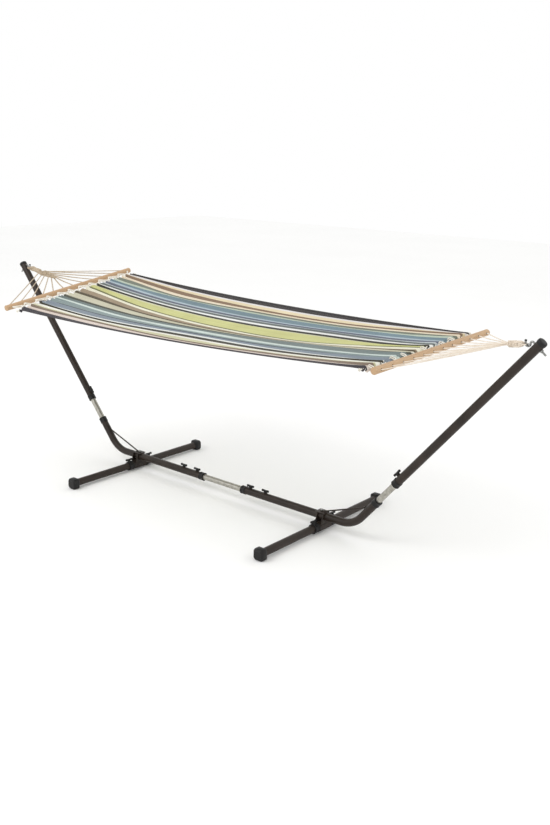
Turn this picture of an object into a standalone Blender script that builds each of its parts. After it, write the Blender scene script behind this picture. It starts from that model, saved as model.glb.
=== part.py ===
# Spreader-bar hammock on a telescopic tubular steel stand.
# Metres, +Z up, +X along the stand to its right end, -Y its near side.
# The origin is on the floor, midway between the two feet.
import math

import bmesh
import bpy
from mathutils import Matrix, Vector

# Clearances
touch_gap = 0.0003
slide_gap = 0.0005
hole_gap = 0.0005

# Tubes of the stand
tube_d = 0.035
tube_wall = 0.0015
inner_d = 0.028
inner_wall = 0.0012
tube_sides = 16

# Base beams: level over the foot, then bent up into the stub of the upright
foot_spacing = 1.210
corner_reach = 0.162
bend_radius = 0.140
upright_angle = math.radians(50.0)
stub_length = 0.190
beam_lift = 0.0033
centre_exposed = 0.248
centre_tube_length = 0.800

# Uprights
upright_exposed = 0.115
stub_insert = 0.112
upper_insert = 0.220
upper_length = 0.886

# Feet
foot_length = 0.883
foot_cap_size = 0.051
foot_cap_length = 0.042
foot_cap_depth = 0.034
foot_cap_chamfer = 0.009
sleeve_d = 0.040
sleeve_wall = 0.002
sleeve_length = 0.148
foot_tube_start = 0.012

# Saddle on each foot
web_thickness = 0.003
web_spacing = 0.033
web_foot_half = 0.041
web_top_half = 0.022
web_low = 0.010
strap_thickness = 0.003
strap_inner_reach = 0.030
strap_outer_reach = 0.019
saddle_bolt_back = 0.008

# Plastic collars on the tube ends
collar_length = 0.027
collar_lip = 0.003
collar_wall = 0.0021
collar_chamfer = 0.001
collar_core_share = 0.8
collar_least_core = 0.0004
foot_collar_length = 0.032
foot_collar_wall = 0.0022

# Top caps
cap_skirt = 0.012
cap_wall = 0.0014
cap_crown = 0.004

# Clamping knobs
knob_stud_d = 0.006
knob_hub_d = 0.018
knob_hub_height = 0.011
knob_hub_taper = 0.75
knob_wing_length = 0.042
knob_wing_width = 0.009
knob_wing_height = 0.011
knob_wing_edge = 0.003
boss_d = 0.016
boss_height = 0.003
beam_knob_first = 0.049
beam_knob_pitch = 0.092
upper_knob_up = 0.043
foot_knob_in = 0.009

# Brace across each bend
brace_d = 0.007
brace_tab_length = 0.030
brace_tab_width = 0.014
brace_tab_thickness = 0.0025
brace_up = 0.107
brace_rod_share = 0.62

# Bolts
bolt_d = 0.008
bolt_head_across = 0.013
bolt_head_height = 0.0053
bolt_head_taper = 0.94
saddle_bolt_reach = 0.012

# Hooks
hook_drop = 0.0265
hook_exit = 0.0050
hook_turn_radius = 0.0070
hook_neck = 0.0020
hook_bowl_radius = 0.0095
hook_tip = 0.014
hook_tail = 0.025
nut_thickness = 0.0065

# Hanging rings and cords
ring_radius = 0.016
ring_wire_d = 0.005
cord_d = 0.0045
neck_d = 0.027
wrap_length = {"left": 0.070, "right": 0.041}
weave_length = {"left": 0.146, "right": 0.034}
neck_slope = {"left": math.radians(9.0), "right": math.radians(7.0)}
weave_width = 0.0216
weave_swell = 1.19
weave_flatness = 0.62
weave_margin = 0.004
weave_spread = 0.55
weave_least_spread = 0.25
cord_mouth = 1.2

# Spreader bars. The bed hangs a little twisted, low on the near side at the left end.
bar_length = 0.860
bar_d = 0.028
bar_distance = 2.221
bar_height = 0.890
bar_roll = {"left": math.radians(7.6), "right": math.radians(1.2)}
bar_skew = {"left": math.radians(3.3), "right": math.radians(0.9)}
cord_count = 12
cord_hole_d = 0.0080
cord_hole_inset = 0.030
cord_hole_tilt = math.radians(10.0)
cord_into_hole = 0.006

# Bed
bed_length = 2.087
bed_width = 0.800
bed_height = 0.883
bed_thickness = 0.004
bed_waist = 0.037
bed_edge_sag = 0.022
bed_middle_sag = 0.028
hem_cord_d = 0.0040
hem_cord_clear = 1.1
hem_cord_span = 0.98

# Places worked out from the sizes above
SIDES = {"left": -1, "right": 1}
foot_x = foot_spacing / 2
foot_z = foot_cap_size / 2
beam_z = foot_z + sleeve_d / 2 + beam_lift + tube_d / 2
corner_x = foot_x + corner_reach
beam_start = centre_exposed / 2 + collar_lip
upright_dir = Vector((math.cos(upright_angle), 0, math.sin(upright_angle)))
inward_dir = Vector((-math.sin(upright_angle), 0, math.cos(upright_angle)))
corner = Vector((corner_x, 0, beam_z))
upper_start = stub_length + collar_lip + upright_exposed + collar_lip
upper_end = upper_start + upper_length
hook_at = upper_end - hook_drop
strap_bottom = beam_z + tube_d / 2 + touch_gap
strap_top = strap_bottom + strap_thickness


def up_upright(distance):
    return corner + upright_dir * distance


def arc(centre, radius, first_angle, last_angle, steps):
    # points of an arc in the XZ plane, without its first point
    points = []
    for i in range(1, steps + 1):
        a = first_angle + (last_angle - first_angle) * i / steps
        points.append(centre + Vector((math.cos(a), 0, math.sin(a))) * radius)
    return points


# The right-hand hook: its bolt runs square through the tube, turns straight down, and
# then turns up round a bowl that the ring hangs in.
hook_bolt_point = up_upright(hook_at)
hook_exit_point = hook_bolt_point + inward_dir * (tube_d / 2 + hook_exit)
hook_exit_angle = math.atan2(inward_dir.z, inward_dir.x)
hook_turn_centre = hook_exit_point + Vector(
    (-math.sin(hook_exit_angle), 0, math.cos(hook_exit_angle))
) * hook_turn_radius
hook_bowl_start = hook_turn_centre + Vector((-hook_turn_radius, 0, -hook_neck))
hook_bowl_centre = hook_bowl_start + Vector((-hook_bowl_radius, 0, 0))
hook_bowl_bottom = hook_bowl_centre + Vector((0, 0, -hook_bowl_radius))
swing_point = hook_bowl_bottom + Vector((0, 0, bolt_d / 2 + touch_gap + ring_wire_d / 2))


def hook_path():
    tail = hook_bolt_point - inward_dir * (tube_d / 2 + hook_tail)
    points = [tail, hook_exit_point]
    points += arc(hook_turn_centre, hook_turn_radius, hook_exit_angle - math.pi / 2, math.pi, 5)
    points.append(hook_bowl_start)
    points += arc(hook_bowl_centre, hook_bowl_radius, 0, -math.pi, 8)
    points.append(points[-1] + Vector((0, 0, hook_tip)))
    return points


# Scene and materials

for old in list(bpy.data.objects):
    bpy.data.objects.remove(old, do_unlink=True)

parts = bpy.data.collections.new("hammock_on_stand")
cutters = bpy.data.collections.new("cutters")
bpy.context.scene.collection.children.link(parts)
bpy.context.scene.collection.children.link(cutters)


def make_material(name, colour, roughness, metallic=0.0):
    mat = bpy.data.materials.new(name)
    mat.use_nodes = True
    shader = mat.node_tree.nodes["Principled BSDF"]
    shader.inputs["Base Color"].default_value = (*colour, 1.0)
    shader.inputs["Roughness"].default_value = roughness
    shader.inputs["Metallic"].default_value = metallic
    return mat


LOOKS = {
    "stand_paint": ((0.065, 0.056, 0.050), 0.45, 0.0),
    "black_plastic": ((0.018, 0.018, 0.018), 0.50, 0.0),
    "bright_tube": ((0.49, 0.47, 0.43), 0.30, 1.0),
    "zinc_steel": ((0.55, 0.55, 0.54), 0.35, 1.0),
    "bar_wood": ((0.58, 0.38, 0.21), 0.55, 0.0),
    "cotton_cord": ((0.80, 0.71, 0.55), 0.90, 0.0),
    "bed_cloth": ((0.35, 0.40, 0.42), 0.95, 0.0),
}


# Building blocks

def finish(obj, look, smooth_angle=35.0):
    # each piece has its own material, named for the piece
    obj.data.materials.clear()
    obj.data.materials.append(make_material(obj.name, *LOOKS[look]))
    if obj.type == "MESH":
        obj.data.shade_smooth()
        obj.data.set_sharp_from_angle(angle=math.radians(smooth_angle))
    return obj


def link(name, data, collection):
    obj = bpy.data.objects.new(name, data)
    collection.objects.link(obj)
    return obj


def as_cutter(obj):
    if obj.name in parts.objects:
        parts.objects.unlink(obj)
        cutters.objects.link(obj)
    obj.hide_render = True
    obj.display_type = "WIRE"
    return obj


def side_turn(side):
    # the left end is the right end turned half round about Z
    return Matrix.Rotation(math.pi, 4, "Z") if SIDES[side] < 0 else Matrix.Identity(4)


def frame_on(origin, z_axis, x_hint=(0, 1, 0)):
    # a frame with its Z along z_axis and its X as near x_hint as it can be
    z = Vector(z_axis).normalized()
    hint = Vector(x_hint)
    if abs(z.dot(hint)) > 0.99:
        hint = Vector((0, 0, 1))
    x = (hint - z * z.dot(hint)).normalized()
    y = z.cross(x)
    turn = Matrix((x, y, z)).transposed().to_4x4()
    return Matrix.Translation(Vector(origin)) @ turn


def wire(name, points, diameter, sides=10, closed_ends=True, collection=None):
    curve = bpy.data.curves.new(name, "CURVE")
    curve.dimensions = "3D"
    curve.fill_mode = "FULL"
    curve.bevel_depth = diameter / 2
    curve.bevel_resolution = (sides - 4) // 2
    curve.use_fill_caps = closed_ends
    spline = curve.splines.new("POLY")
    spline.points.add(len(points) - 1)
    for point, place in zip(spline.points, points):
        point.co = (*place, 1.0)
    return link(name, curve, collection or parts)


def to_mesh(curve_object):
    # a curve's caps are loose, so they are welded on
    depsgraph = bpy.context.evaluated_depsgraph_get()
    mesh = bpy.data.meshes.new_from_object(curve_object.evaluated_get(depsgraph))
    bm = bmesh.new()
    bm.from_mesh(mesh)
    bmesh.ops.remove_doubles(bm, verts=bm.verts, dist=0.00001)
    bmesh.ops.recalc_face_normals(bm, faces=bm.faces)
    bm.to_mesh(mesh)
    bm.free()
    name = curve_object.name
    place = curve_object.matrix_world.copy()
    home = curve_object.users_collection[0]
    bpy.data.objects.remove(curve_object, do_unlink=True)
    obj = link(name, mesh, home)
    obj.matrix_world = place
    return obj


def bent_tube(name, points, diameter, wall):
    obj = to_mesh(wire(name, points, diameter, tube_sides, closed_ends=False))
    shell = obj.modifiers.new("wall", "SOLIDIFY")
    shell.thickness = wall
    shell.offset = -1.0
    shell.use_even_offset = True
    return obj


def solid_rod(name, start, end, diameter, sides=tube_sides):
    return to_mesh(wire(name, [start, end], diameter, sides))


def turned(name, profile, sides=tube_sides):
    # profile: (radius, height) pairs, down the outer side from the top
    mesh = bpy.data.meshes.new(name)
    bm = bmesh.new()
    verts = [bm.verts.new((r, 0, z)) for r, z in profile]
    closed = all(r > 0 for r, _ in profile)
    for a, b in zip(verts, verts[1:] + (verts[:1] if closed else [])):
        bm.edges.new((a, b))
    bm.to_mesh(mesh)
    bm.free()
    obj = link(name, mesh, parts)
    screw = obj.modifiers.new("turn", "SCREW")
    screw.angle = math.tau
    screw.steps = sides
    screw.render_steps = sides
    screw.use_merge_vertices = True
    screw.merge_threshold = 0.00001
    return obj


def block(name, size, place=None, bevel=0.0, segments=2):
    mesh = bpy.data.meshes.new(name)
    bm = bmesh.new()
    bmesh.ops.create_cube(bm, size=1.0)
    bmesh.ops.scale(bm, vec=size, verts=bm.verts)
    bm.to_mesh(mesh)
    bm.free()
    obj = link(name, mesh, parts)
    if place is not None:
        obj.matrix_world = place
    if bevel:
        edge = obj.modifiers.new("edge", "BEVEL")
        edge.width = bevel
        edge.segments = segments
    return obj


def drum(name, radius_low, radius_high, height, sides, place):
    mesh = bpy.data.meshes.new(name)
    bm = bmesh.new()
    bmesh.ops.create_cone(
        bm, cap_ends=True, segments=sides, radius1=radius_low, radius2=radius_high, depth=height
    )
    bm.to_mesh(mesh)
    bm.free()
    obj = link(name, mesh, parts)
    obj.matrix_world = place
    return obj


def outline(name, corners, thickness, place):
    # a flat outline in its own XY plane, half its thickness to each side
    curve = bpy.data.curves.new(name, "CURVE")
    curve.dimensions = "2D"
    curve.fill_mode = "BOTH"
    curve.extrude = thickness / 2
    spline = curve.splines.new("POLY")
    spline.points.add(len(corners) - 1)
    for point, corner_point in zip(spline.points, corners):
        point.co = (*corner_point, 0.0, 1.0)
    spline.use_cyclic_u = True
    obj = link(name, curve, parts)
    obj.matrix_world = place
    return to_mesh(obj)


def cut(obj, tool):
    step = obj.modifiers.new("cut", "BOOLEAN")
    step.operation = "DIFFERENCE"
    step.solver = "EXACT"
    step.object = as_cutter(tool)


def weld(obj, piece):
    step = obj.modifiers.new("weld", "BOOLEAN")
    step.operation = "UNION"
    step.solver = "EXACT"
    step.object = as_cutter(piece)


def drill(obj, start, end, diameter, sides=12):
    cut(obj, solid_rod(obj.name + "_drill", start, end, diameter, sides))


def turn_to_side(obj, side):
    # turn a piece made at the right end, with all its tools, to the wanted end
    tools = [m.object for m in obj.modifiers if m.type == "BOOLEAN"]
    for piece in [obj] + tools:
        piece.matrix_world = side_turn(side) @ piece.matrix_world
    return obj


# Stand

def beam_points():
    tangent = bend_radius * math.tan(upright_angle / 2)
    start = corner_x - tangent
    points = [Vector((beam_start, 0, beam_z))]
    centre = Vector((start, 0, beam_z + bend_radius))
    points.append(Vector((start, 0, beam_z)))
    points += arc(centre, bend_radius, -math.pi / 2, upright_angle - math.pi / 2, 7)
    points.append(up_upright(stub_length))
    return points


def boss(obj, surface_point, outward):
    # a welded nut that a clamping knob screws through
    middle = surface_point + outward * (boss_height / 2 - tube_wall / 4)
    height = boss_height + tube_wall / 2
    weld(obj, drum(obj.name + "_boss", boss_d / 2, boss_d / 2, height, 12, frame_on(middle, outward)))
    low = surface_point - outward * (tube_wall * 2)
    high = surface_point + outward * (boss_height * 2)
    drill(obj, low, high, knob_stud_d + 2 * touch_gap)


def beam_knob_places():
    return [beam_start + beam_knob_first + beam_knob_pitch * i for i in range(2)]


def base_beam(side):
    obj = bent_tube("base_beam_" + side, beam_points(), tube_d, tube_wall)
    for x in beam_knob_places():
        boss(obj, Vector((x, 0, beam_z + tube_d / 2)), Vector((0, 0, 1)))
    bolt_x = foot_x - saddle_bolt_back
    low = Vector((bolt_x, 0, beam_z))
    high = Vector((bolt_x, 0, beam_z + tube_d))
    drill(obj, low, high, bolt_d + 2 * hole_gap)
    return finish(turn_to_side(obj, side), "stand_paint")


def straight_tube(name, start, end, diameter, wall, side="right", look="stand_paint"):
    obj = bent_tube(name, [start, end], diameter, wall)
    return finish(turn_to_side(obj, side), look)


def collar(name, face, direction, outer_d, outer_wall, core_d, length, wall):
    # a bush pushed on a tube's end: a skirt outside, a sleeve inside, and a lip between.
    # face is the lip's outer face, and direction points from the tube's body out of its end.
    skirt_in = outer_d / 2 + touch_gap
    skirt_out = skirt_in + wall
    core_in = core_d / 2 + slide_gap
    core_out = outer_d / 2 - outer_wall - touch_gap
    lip_back = -collar_lip + touch_gap
    if core_out - core_in < collar_least_core:
        profile = [(skirt_out, -collar_chamfer), (skirt_out, -length), (skirt_in, -length)]
        profile += [(skirt_in, lip_back), (core_in, lip_back), (core_in, 0)]
        profile += [(skirt_out - collar_chamfer, 0)]
    else:
        core_end = -length * collar_core_share
        profile = [(skirt_out, -collar_chamfer), (skirt_out, -length), (skirt_in, -length)]
        profile += [(skirt_in, lip_back), (core_out, lip_back), (core_out, core_end)]
        profile += [(core_in, core_end), (core_in, 0), (skirt_out - collar_chamfer, 0)]
    obj = turned(name, profile)
    obj.matrix_world = frame_on(face, direction)
    return obj


def beam_collar(side):
    face = Vector((beam_start - collar_lip, 0, beam_z))
    obj = collar("beam_collar_" + side, face, (-1, 0, 0),
                 tube_d, tube_wall, inner_d, collar_length, collar_wall)
    return finish(turn_to_side(obj, side), "black_plastic")


def stub_collar(side):
    face = up_upright(stub_length + collar_lip)
    obj = collar("stub_collar_" + side, face, upright_dir,
                 tube_d, tube_wall, inner_d, collar_length, collar_wall)
    return finish(turn_to_side(obj, side), "black_plastic")


def upper_collar(side):
    face = up_upright(upper_start - collar_lip)
    obj = collar("upper_collar_" + side, face, -upright_dir,
                 tube_d, tube_wall, inner_d, collar_length, collar_wall)
    return finish(turn_to_side(obj, side), "black_plastic")


def upper_tube(side):
    obj = bent_tube("upper_tube_" + side, [up_upright(upper_start), up_upright(upper_end)],
                    tube_d, tube_wall)
    knob_point = up_upright(upper_start + upper_knob_up) + inward_dir * (tube_d / 2)
    boss(obj, knob_point, inward_dir)
    middle = up_upright(hook_at)
    drill(obj, middle - inward_dir * tube_d, middle + inward_dir * tube_d, bolt_d + 2 * hole_gap)
    return finish(turn_to_side(obj, side), "stand_paint")


def top_cap(side):
    inside = tube_d / 2 + touch_gap
    outside = inside + cap_wall
    edge = 0.003
    profile = [(0, cap_crown), (outside - edge, cap_crown)]
    profile += [(outside - edge * 0.3, cap_crown - edge * 0.3), (outside, cap_crown - edge)]
    profile += [(outside, -cap_skirt), (inside, -cap_skirt), (inside, touch_gap), (0, touch_gap)]
    obj = turned("top_cap_" + side, profile)
    obj.matrix_world = frame_on(up_upright(upper_end), upright_dir)
    return finish(turn_to_side(obj, side), "black_plastic")


def knob(name, surface_point, outward, wing_dir, stud_end, side):
    # stud_end: how far below the surface the stud reaches
    place = frame_on(surface_point, outward, wing_dir)
    stud_top = boss_height + knob_hub_height / 2
    stud_length = stud_top + stud_end
    middle = (stud_top - stud_end) / 2
    obj = drum(name, knob_stud_d / 2, knob_stud_d / 2, stud_length, 10, Matrix.Identity(4))
    obj.data.transform(Matrix.Translation((0, 0, middle)))
    hub_low = boss_height + touch_gap
    hub_place = place @ Matrix.Translation((0, 0, hub_low + knob_hub_height / 2))
    weld(obj, drum(name + "_hub", knob_hub_d / 2, knob_hub_d / 2 * knob_hub_taper, knob_hub_height, 12, hub_place))
    wing_middle = hub_low + knob_hub_height - knob_wing_height / 4
    wing_place = place @ Matrix.Translation((0, 0, wing_middle))
    wing_size = (knob_wing_length, knob_wing_width, knob_wing_height)
    weld(obj, block(name + "_wing", wing_size, wing_place, bevel=knob_wing_edge))
    obj.matrix_world = place
    return finish(turn_to_side(obj, side), "black_plastic")


def foot_knob_y():
    return sleeve_length / 2 + collar_lip - foot_knob_in


def foot_bracket(side):
    half = sleeve_length / 2
    start = Vector((foot_x, -half, foot_z))
    end = Vector((foot_x, half, foot_z))
    name = "foot_bracket_" + side
    obj = solid_rod(name, start, end, sleeve_d)
    low = web_low - foot_z
    high = strap_bottom - foot_z
    corners = [(-web_foot_half, low), (web_foot_half, low), (web_foot_half, low + sleeve_d / 2)]
    corners += [(web_top_half, high), (-web_top_half, high), (-web_foot_half, low + sleeve_d / 2)]
    for x in (foot_x - web_spacing / 2, foot_x + web_spacing / 2):
        place = frame_on((x, 0, foot_z), (1, 0, 0), (0, 1, 0))
        weld(obj, outline(name + "_web", corners, web_thickness, place))
    strap_length = strap_inner_reach + strap_outer_reach
    strap_x = foot_x + (strap_outer_reach - strap_inner_reach) / 2
    size = (strap_length, web_top_half * 2, strap_thickness)
    place = Matrix.Translation((strap_x, 0, strap_bottom + strap_thickness / 2))
    weld(obj, block(name + "_strap", size, place))
    drill(obj, Vector((foot_x - 0.1, 0, beam_z)), Vector((foot_x + 0.1, 0, beam_z)),
          tube_d + 2 * touch_gap, tube_sides)
    bore = sleeve_d - 2 * sleeve_wall
    drill(obj, start - Vector((0, 0.01, 0)), end + Vector((0, 0.01, 0)), bore, tube_sides)
    for y in (-foot_knob_y(), foot_knob_y()):
        drill(obj, Vector((foot_x, y, foot_z)), Vector((foot_x, y, foot_z + sleeve_d)),
              knob_stud_d + 2 * touch_gap)
    bolt_x = foot_x - saddle_bolt_back
    drill(obj, Vector((bolt_x, 0, beam_z)), Vector((bolt_x, 0, strap_top + bolt_d)),
          bolt_d + 2 * hole_gap)
    return finish(turn_to_side(obj, side), "stand_paint")


def foot_collar(side, way, name):
    face = Vector((foot_x, way * (sleeve_length / 2 + collar_lip), foot_z))
    obj = collar(name, face, (0, way, 0), sleeve_d, sleeve_wall, tube_d,
                 foot_collar_length, foot_collar_wall)
    y = way * foot_knob_y()
    top = foot_z + sleeve_d / 2 + touch_gap + foot_collar_wall
    low = foot_z + sleeve_d / 2 + touch_gap + foot_collar_wall / 3
    height = top + boss_height - low
    place = frame_on((foot_x, y, low + height / 2), (0, 0, 1))
    weld(obj, drum(name + "_boss", boss_d / 2, boss_d / 2, height, 12, place))
    drill(obj, Vector((foot_x, y, foot_z)), Vector((foot_x, y, top + 0.01)),
          knob_stud_d + 2 * touch_gap)
    return finish(turn_to_side(obj, side), "black_plastic")


def foot_tube(side, way, name):
    start = Vector((foot_x, way * foot_tube_start, foot_z))
    end_y = foot_length / 2 - (foot_cap_length - foot_cap_depth) - touch_gap
    end = Vector((foot_x, way * end_y, foot_z))
    return straight_tube(name, start, end, tube_d, tube_wall, side)


def foot_cap(side, way, name):
    middle = way * (foot_length / 2 - foot_cap_length / 2)
    place = Matrix.Translation((foot_x, middle, foot_z))
    size = (foot_cap_size, foot_cap_length, foot_cap_size)
    obj = block(name, size, place, bevel=foot_cap_chamfer, segments=2)
    open_y = way * (foot_length / 2 - foot_cap_length - 0.01)
    floor_y = way * (foot_length / 2 - foot_cap_length + foot_cap_depth)
    drill(obj, Vector((foot_x, open_y, foot_z)), Vector((foot_x, floor_y, foot_z)),
          tube_d + 2 * touch_gap, tube_sides)
    return finish(turn_to_side(obj, side), "black_plastic")


def saddle_bolt(side):
    x = foot_x - saddle_bolt_back
    head_low = strap_top + touch_gap + brace_tab_thickness + touch_gap
    top = Vector((x, 0, head_low + bolt_head_height / 2))
    name = "saddle_bolt_" + side
    end = Vector((x, 0, beam_z + tube_d / 2 - saddle_bolt_reach))
    obj = solid_rod(name, end, top, bolt_d, 16)
    radius = bolt_head_across / 2 / math.cos(math.pi / 6)
    place = frame_on((x, 0, head_low + bolt_head_height / 2), (0, 0, 1))
    weld(obj, drum(name + "_head", radius, radius * bolt_head_taper, bolt_head_height, 6, place))
    return finish(turn_to_side(obj, side), "zinc_steel")


def brace_rod(side):
    name = "brace_rod_" + side
    tab_z = strap_top + touch_gap + brace_tab_thickness / 2
    bolt_x = foot_x - saddle_bolt_back
    rod_low = Vector((bolt_x + brace_tab_length * brace_rod_share, 0, strap_top + touch_gap + brace_d / 2))
    surface = up_upright(brace_up) + inward_dir * (tube_d / 2 + touch_gap)
    rod_high = surface + inward_dir * (brace_d / 2)
    rod_end = rod_high + upright_dir * (brace_tab_length / 2)
    obj = to_mesh(wire(name, [rod_low - Vector((0.004, 0, 0)), rod_low, rod_high, rod_end], brace_d))
    size = (brace_tab_length, brace_tab_width, brace_tab_thickness)
    tab_x = bolt_x + brace_tab_length / 2 - brace_tab_width / 2
    tab = block(name + "_tab", size, Matrix.Translation((tab_x, 0, tab_z)))
    weld(obj, tab)
    drill(obj, Vector((bolt_x, 0, strap_top - 0.01)), Vector((bolt_x, 0, strap_top + 0.02)),
          bolt_d + 2 * hole_gap)
    return finish(turn_to_side(obj, side), "stand_paint")


def hook(side):
    obj = to_mesh(wire("hook_" + side, hook_path(), bolt_d))
    return finish(turn_to_side(obj, side), "zinc_steel", 50.0)


def hook_nut(side):
    out = -inward_dir
    face = up_upright(hook_at) + out * (tube_d / 2 + touch_gap)
    radius = bolt_head_across / 2 / math.cos(math.pi / 6)
    name = "hook_nut_" + side
    obj = drum(name, radius, radius, nut_thickness, 6, frame_on(face + out * (nut_thickness / 2), out))
    drill(obj, face - out * 0.01, face + out * (nut_thickness + 0.01), bolt_d + 2 * touch_gap)
    return finish(turn_to_side(obj, side), "zinc_steel")


# Hammock

def bar_frame(side):
    # X points out to the hook, Y along the bar to the far side
    sign = SIDES[side]
    roll = bar_roll[side]
    skew = bar_skew[side]
    along = Vector((-math.sin(skew), math.cos(roll) * math.cos(skew), math.sin(roll))).normalized()
    out = Vector((sign, 0, 0))
    out = (out - along * out.dot(along)).normalized()
    up = out.cross(along) if sign > 0 else along.cross(out)
    turn = Matrix((out, along, up)).transposed().to_4x4()
    return turn


def bar_centre(side):
    return Vector((SIDES[side] * bar_distance / 2, 0, bar_height))


def hole_offsets():
    first = -bar_length / 2 + cord_hole_inset
    pitch = (bar_length - 2 * cord_hole_inset) / (cord_count - 1)
    return [first + pitch * i for i in range(cord_count)]


def hole_direction(side):
    turn = bar_frame(side)
    local = Vector((math.cos(cord_hole_tilt), 0, math.sin(cord_hole_tilt)))
    return (turn @ local.to_4d()).to_3d().normalized()


def on_bar(side, offset):
    turn = bar_frame(side)
    return bar_centre(side) + (turn @ Vector((0, offset, 0, 0))).to_3d()


def spreader_bar(side):
    name = "spreader_bar_" + side
    obj = solid_rod(name, on_bar(side, -bar_length / 2), on_bar(side, bar_length / 2), bar_d)
    direction = hole_direction(side)
    for offset in hole_offsets():
        middle = on_bar(side, offset)
        drill(obj, middle - direction * bar_d, middle + direction * bar_d, cord_hole_d, 8)
    return finish(obj, "bar_wood")


def neck_line(side):
    # start at the swing axis, and the way the cords pull
    sign = SIDES[side]
    start = Vector((sign * swing_point.x, 0, swing_point.z))
    slope = neck_slope[side]
    return start, Vector((-sign * math.cos(slope), 0, -math.sin(slope)))


def neck_mark(side, distance):
    start, way = neck_line(side)
    return start + way * distance


def wrap_start():
    return 2 * ring_radius + ring_wire_d / 2 + touch_gap


def hang_ring(side):
    bpy.ops.mesh.primitive_torus_add(
        major_radius=ring_radius, minor_radius=ring_wire_d / 2, major_segments=24, minor_segments=8
    )
    obj = bpy.context.object
    for home in list(obj.users_collection):
        home.objects.unlink(obj)
    parts.objects.link(obj)
    obj.name = "hang_ring_" + side
    up = neck_line(side)[1].cross(Vector((0, 1, 0)))
    obj.matrix_world = frame_on(neck_mark(side, ring_radius), up)
    return finish(obj, "zinc_steel")


def neck_wrap(side):
    # the whipped neck of the cords, next to the ring
    length = wrap_length[side]
    r = neck_d / 2
    # full in the middle, drawn in at both ends
    shape = [(0.60, 1.00), (0.86, 0.94), (0.92, 0.84), (1.00, 0.50), (0.94, 0.14), (0.74, 0.03), (0.55, 0.00)]
    profile = [(0, length)] + [(r * wide, length * along) for wide, along in shape] + [(0, 0)]
    obj = turned("neck_wrap_" + side, profile)
    obj.matrix_world = frame_on(neck_mark(side, wrap_start()), neck_line(side)[1])
    return finish(obj, "cotton_cord")


def clew_cords(side):
    # a woven wedge that the cords leave one pair at a time, outermost first
    name = "clew_cords_" + side
    first = wrap_start() + wrap_length[side] + touch_gap
    length = weave_length[side]
    way = neck_line(side)[1]
    wedge_low = weave_width / 2
    wedge_high = wedge_low * weave_swell
    place = frame_on(neck_mark(side, first + length / 2), way)
    obj = drum(name, wedge_low, wedge_high, length, 16, place)
    obj.data.transform(Matrix.Diagonal((1.0, weave_flatness, 1.0, 1.0)))
    direction = hole_direction(side)
    offsets = hole_offsets()
    for i, offset in enumerate(offsets):
        share = abs(2 * i - (cord_count - 1)) / (cord_count - 1)
        along = first + weave_margin + (length - 2 * weave_margin) * (1 - share)
        spread = weave_least_spread + (1 - weave_least_spread) * share
        across = Vector((0, math.copysign(wedge_low * weave_spread, offset) * spread, 0))
        begin = neck_mark(side, along) + across
        middle = on_bar(side, offset)
        mouth = middle + direction * (bar_d / 2 + cord_d * cord_mouth)
        inside = middle + direction * (bar_d / 2 - cord_into_hole)
        cord = to_mesh(wire(name + "_cord", [begin, mouth, inside], cord_d, 6))
        weld(obj, cord)
    return finish(obj, "cotton_cord")


def bed_end(side, across):
    # a point on the bed's end, across from -1 (near edge) to 1 (far edge)
    turn = bar_frame(side)
    centre = Vector((SIDES[side] * bed_length / 2, 0, bed_height))
    return centre + (turn @ Vector((0, across * bed_width / 2, 0, 0))).to_3d()


def bed_point(along, across):
    # along from 0 (left end) to 1 (right end)
    left = bed_end("left", across)
    right = bed_end("right", across)
    point = left.lerp(right, along)
    belly = 4 * along * (1 - along)
    point.y -= across * bed_waist * belly
    point.z -= bed_edge_sag * belly + bed_middle_sag * belly * (1 - across * across)
    return point


def hammock_bed():
    mesh = bpy.data.meshes.new("hammock_bed")
    bm = bmesh.new()
    bmesh.ops.create_grid(bm, x_segments=18, y_segments=8, size=1.0)
    for vert in bm.verts:
        vert.co = bed_point((vert.co.x + 1) / 2, vert.co.y)
    bm.to_mesh(mesh)
    bm.free()
    obj = link("hammock_bed", mesh, parts)
    cloth = obj.modifiers.new("cloth", "SOLIDIFY")
    cloth.thickness = bed_thickness
    cloth.offset = 0.0
    return finish(obj, "bed_cloth")


def hem_cord(side):
    # one cord laced between the bar's holes and the hem, hole after hole
    turn = bar_frame(side)
    out = (turn @ Vector((1, 0, 0, 0))).to_3d()
    offsets = hole_offsets()
    reach = hem_cord_d * hem_cord_clear + touch_gap
    points = []
    for i, offset in enumerate(offsets):
        points.append(on_bar(side, offset) - out * (bar_d / 2 + reach))
        if i + 1 < len(offsets):
            between = (offset + offsets[i + 1]) / 2
            across = between / (bar_length / 2 - cord_hole_inset) * hem_cord_span
            points.append(bed_end(side, across) + out * (reach + bed_thickness / 2))
    obj = wire("hem_cord_" + side, points, hem_cord_d, 6)
    return finish(to_mesh(obj), "cotton_cord")


# Assembly

half_centre = centre_tube_length / 2
straight_tube("centre_tube", Vector((-half_centre, 0, beam_z)), Vector((half_centre, 0, beam_z)),
              inner_d, inner_wall, look="bright_tube")

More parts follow.
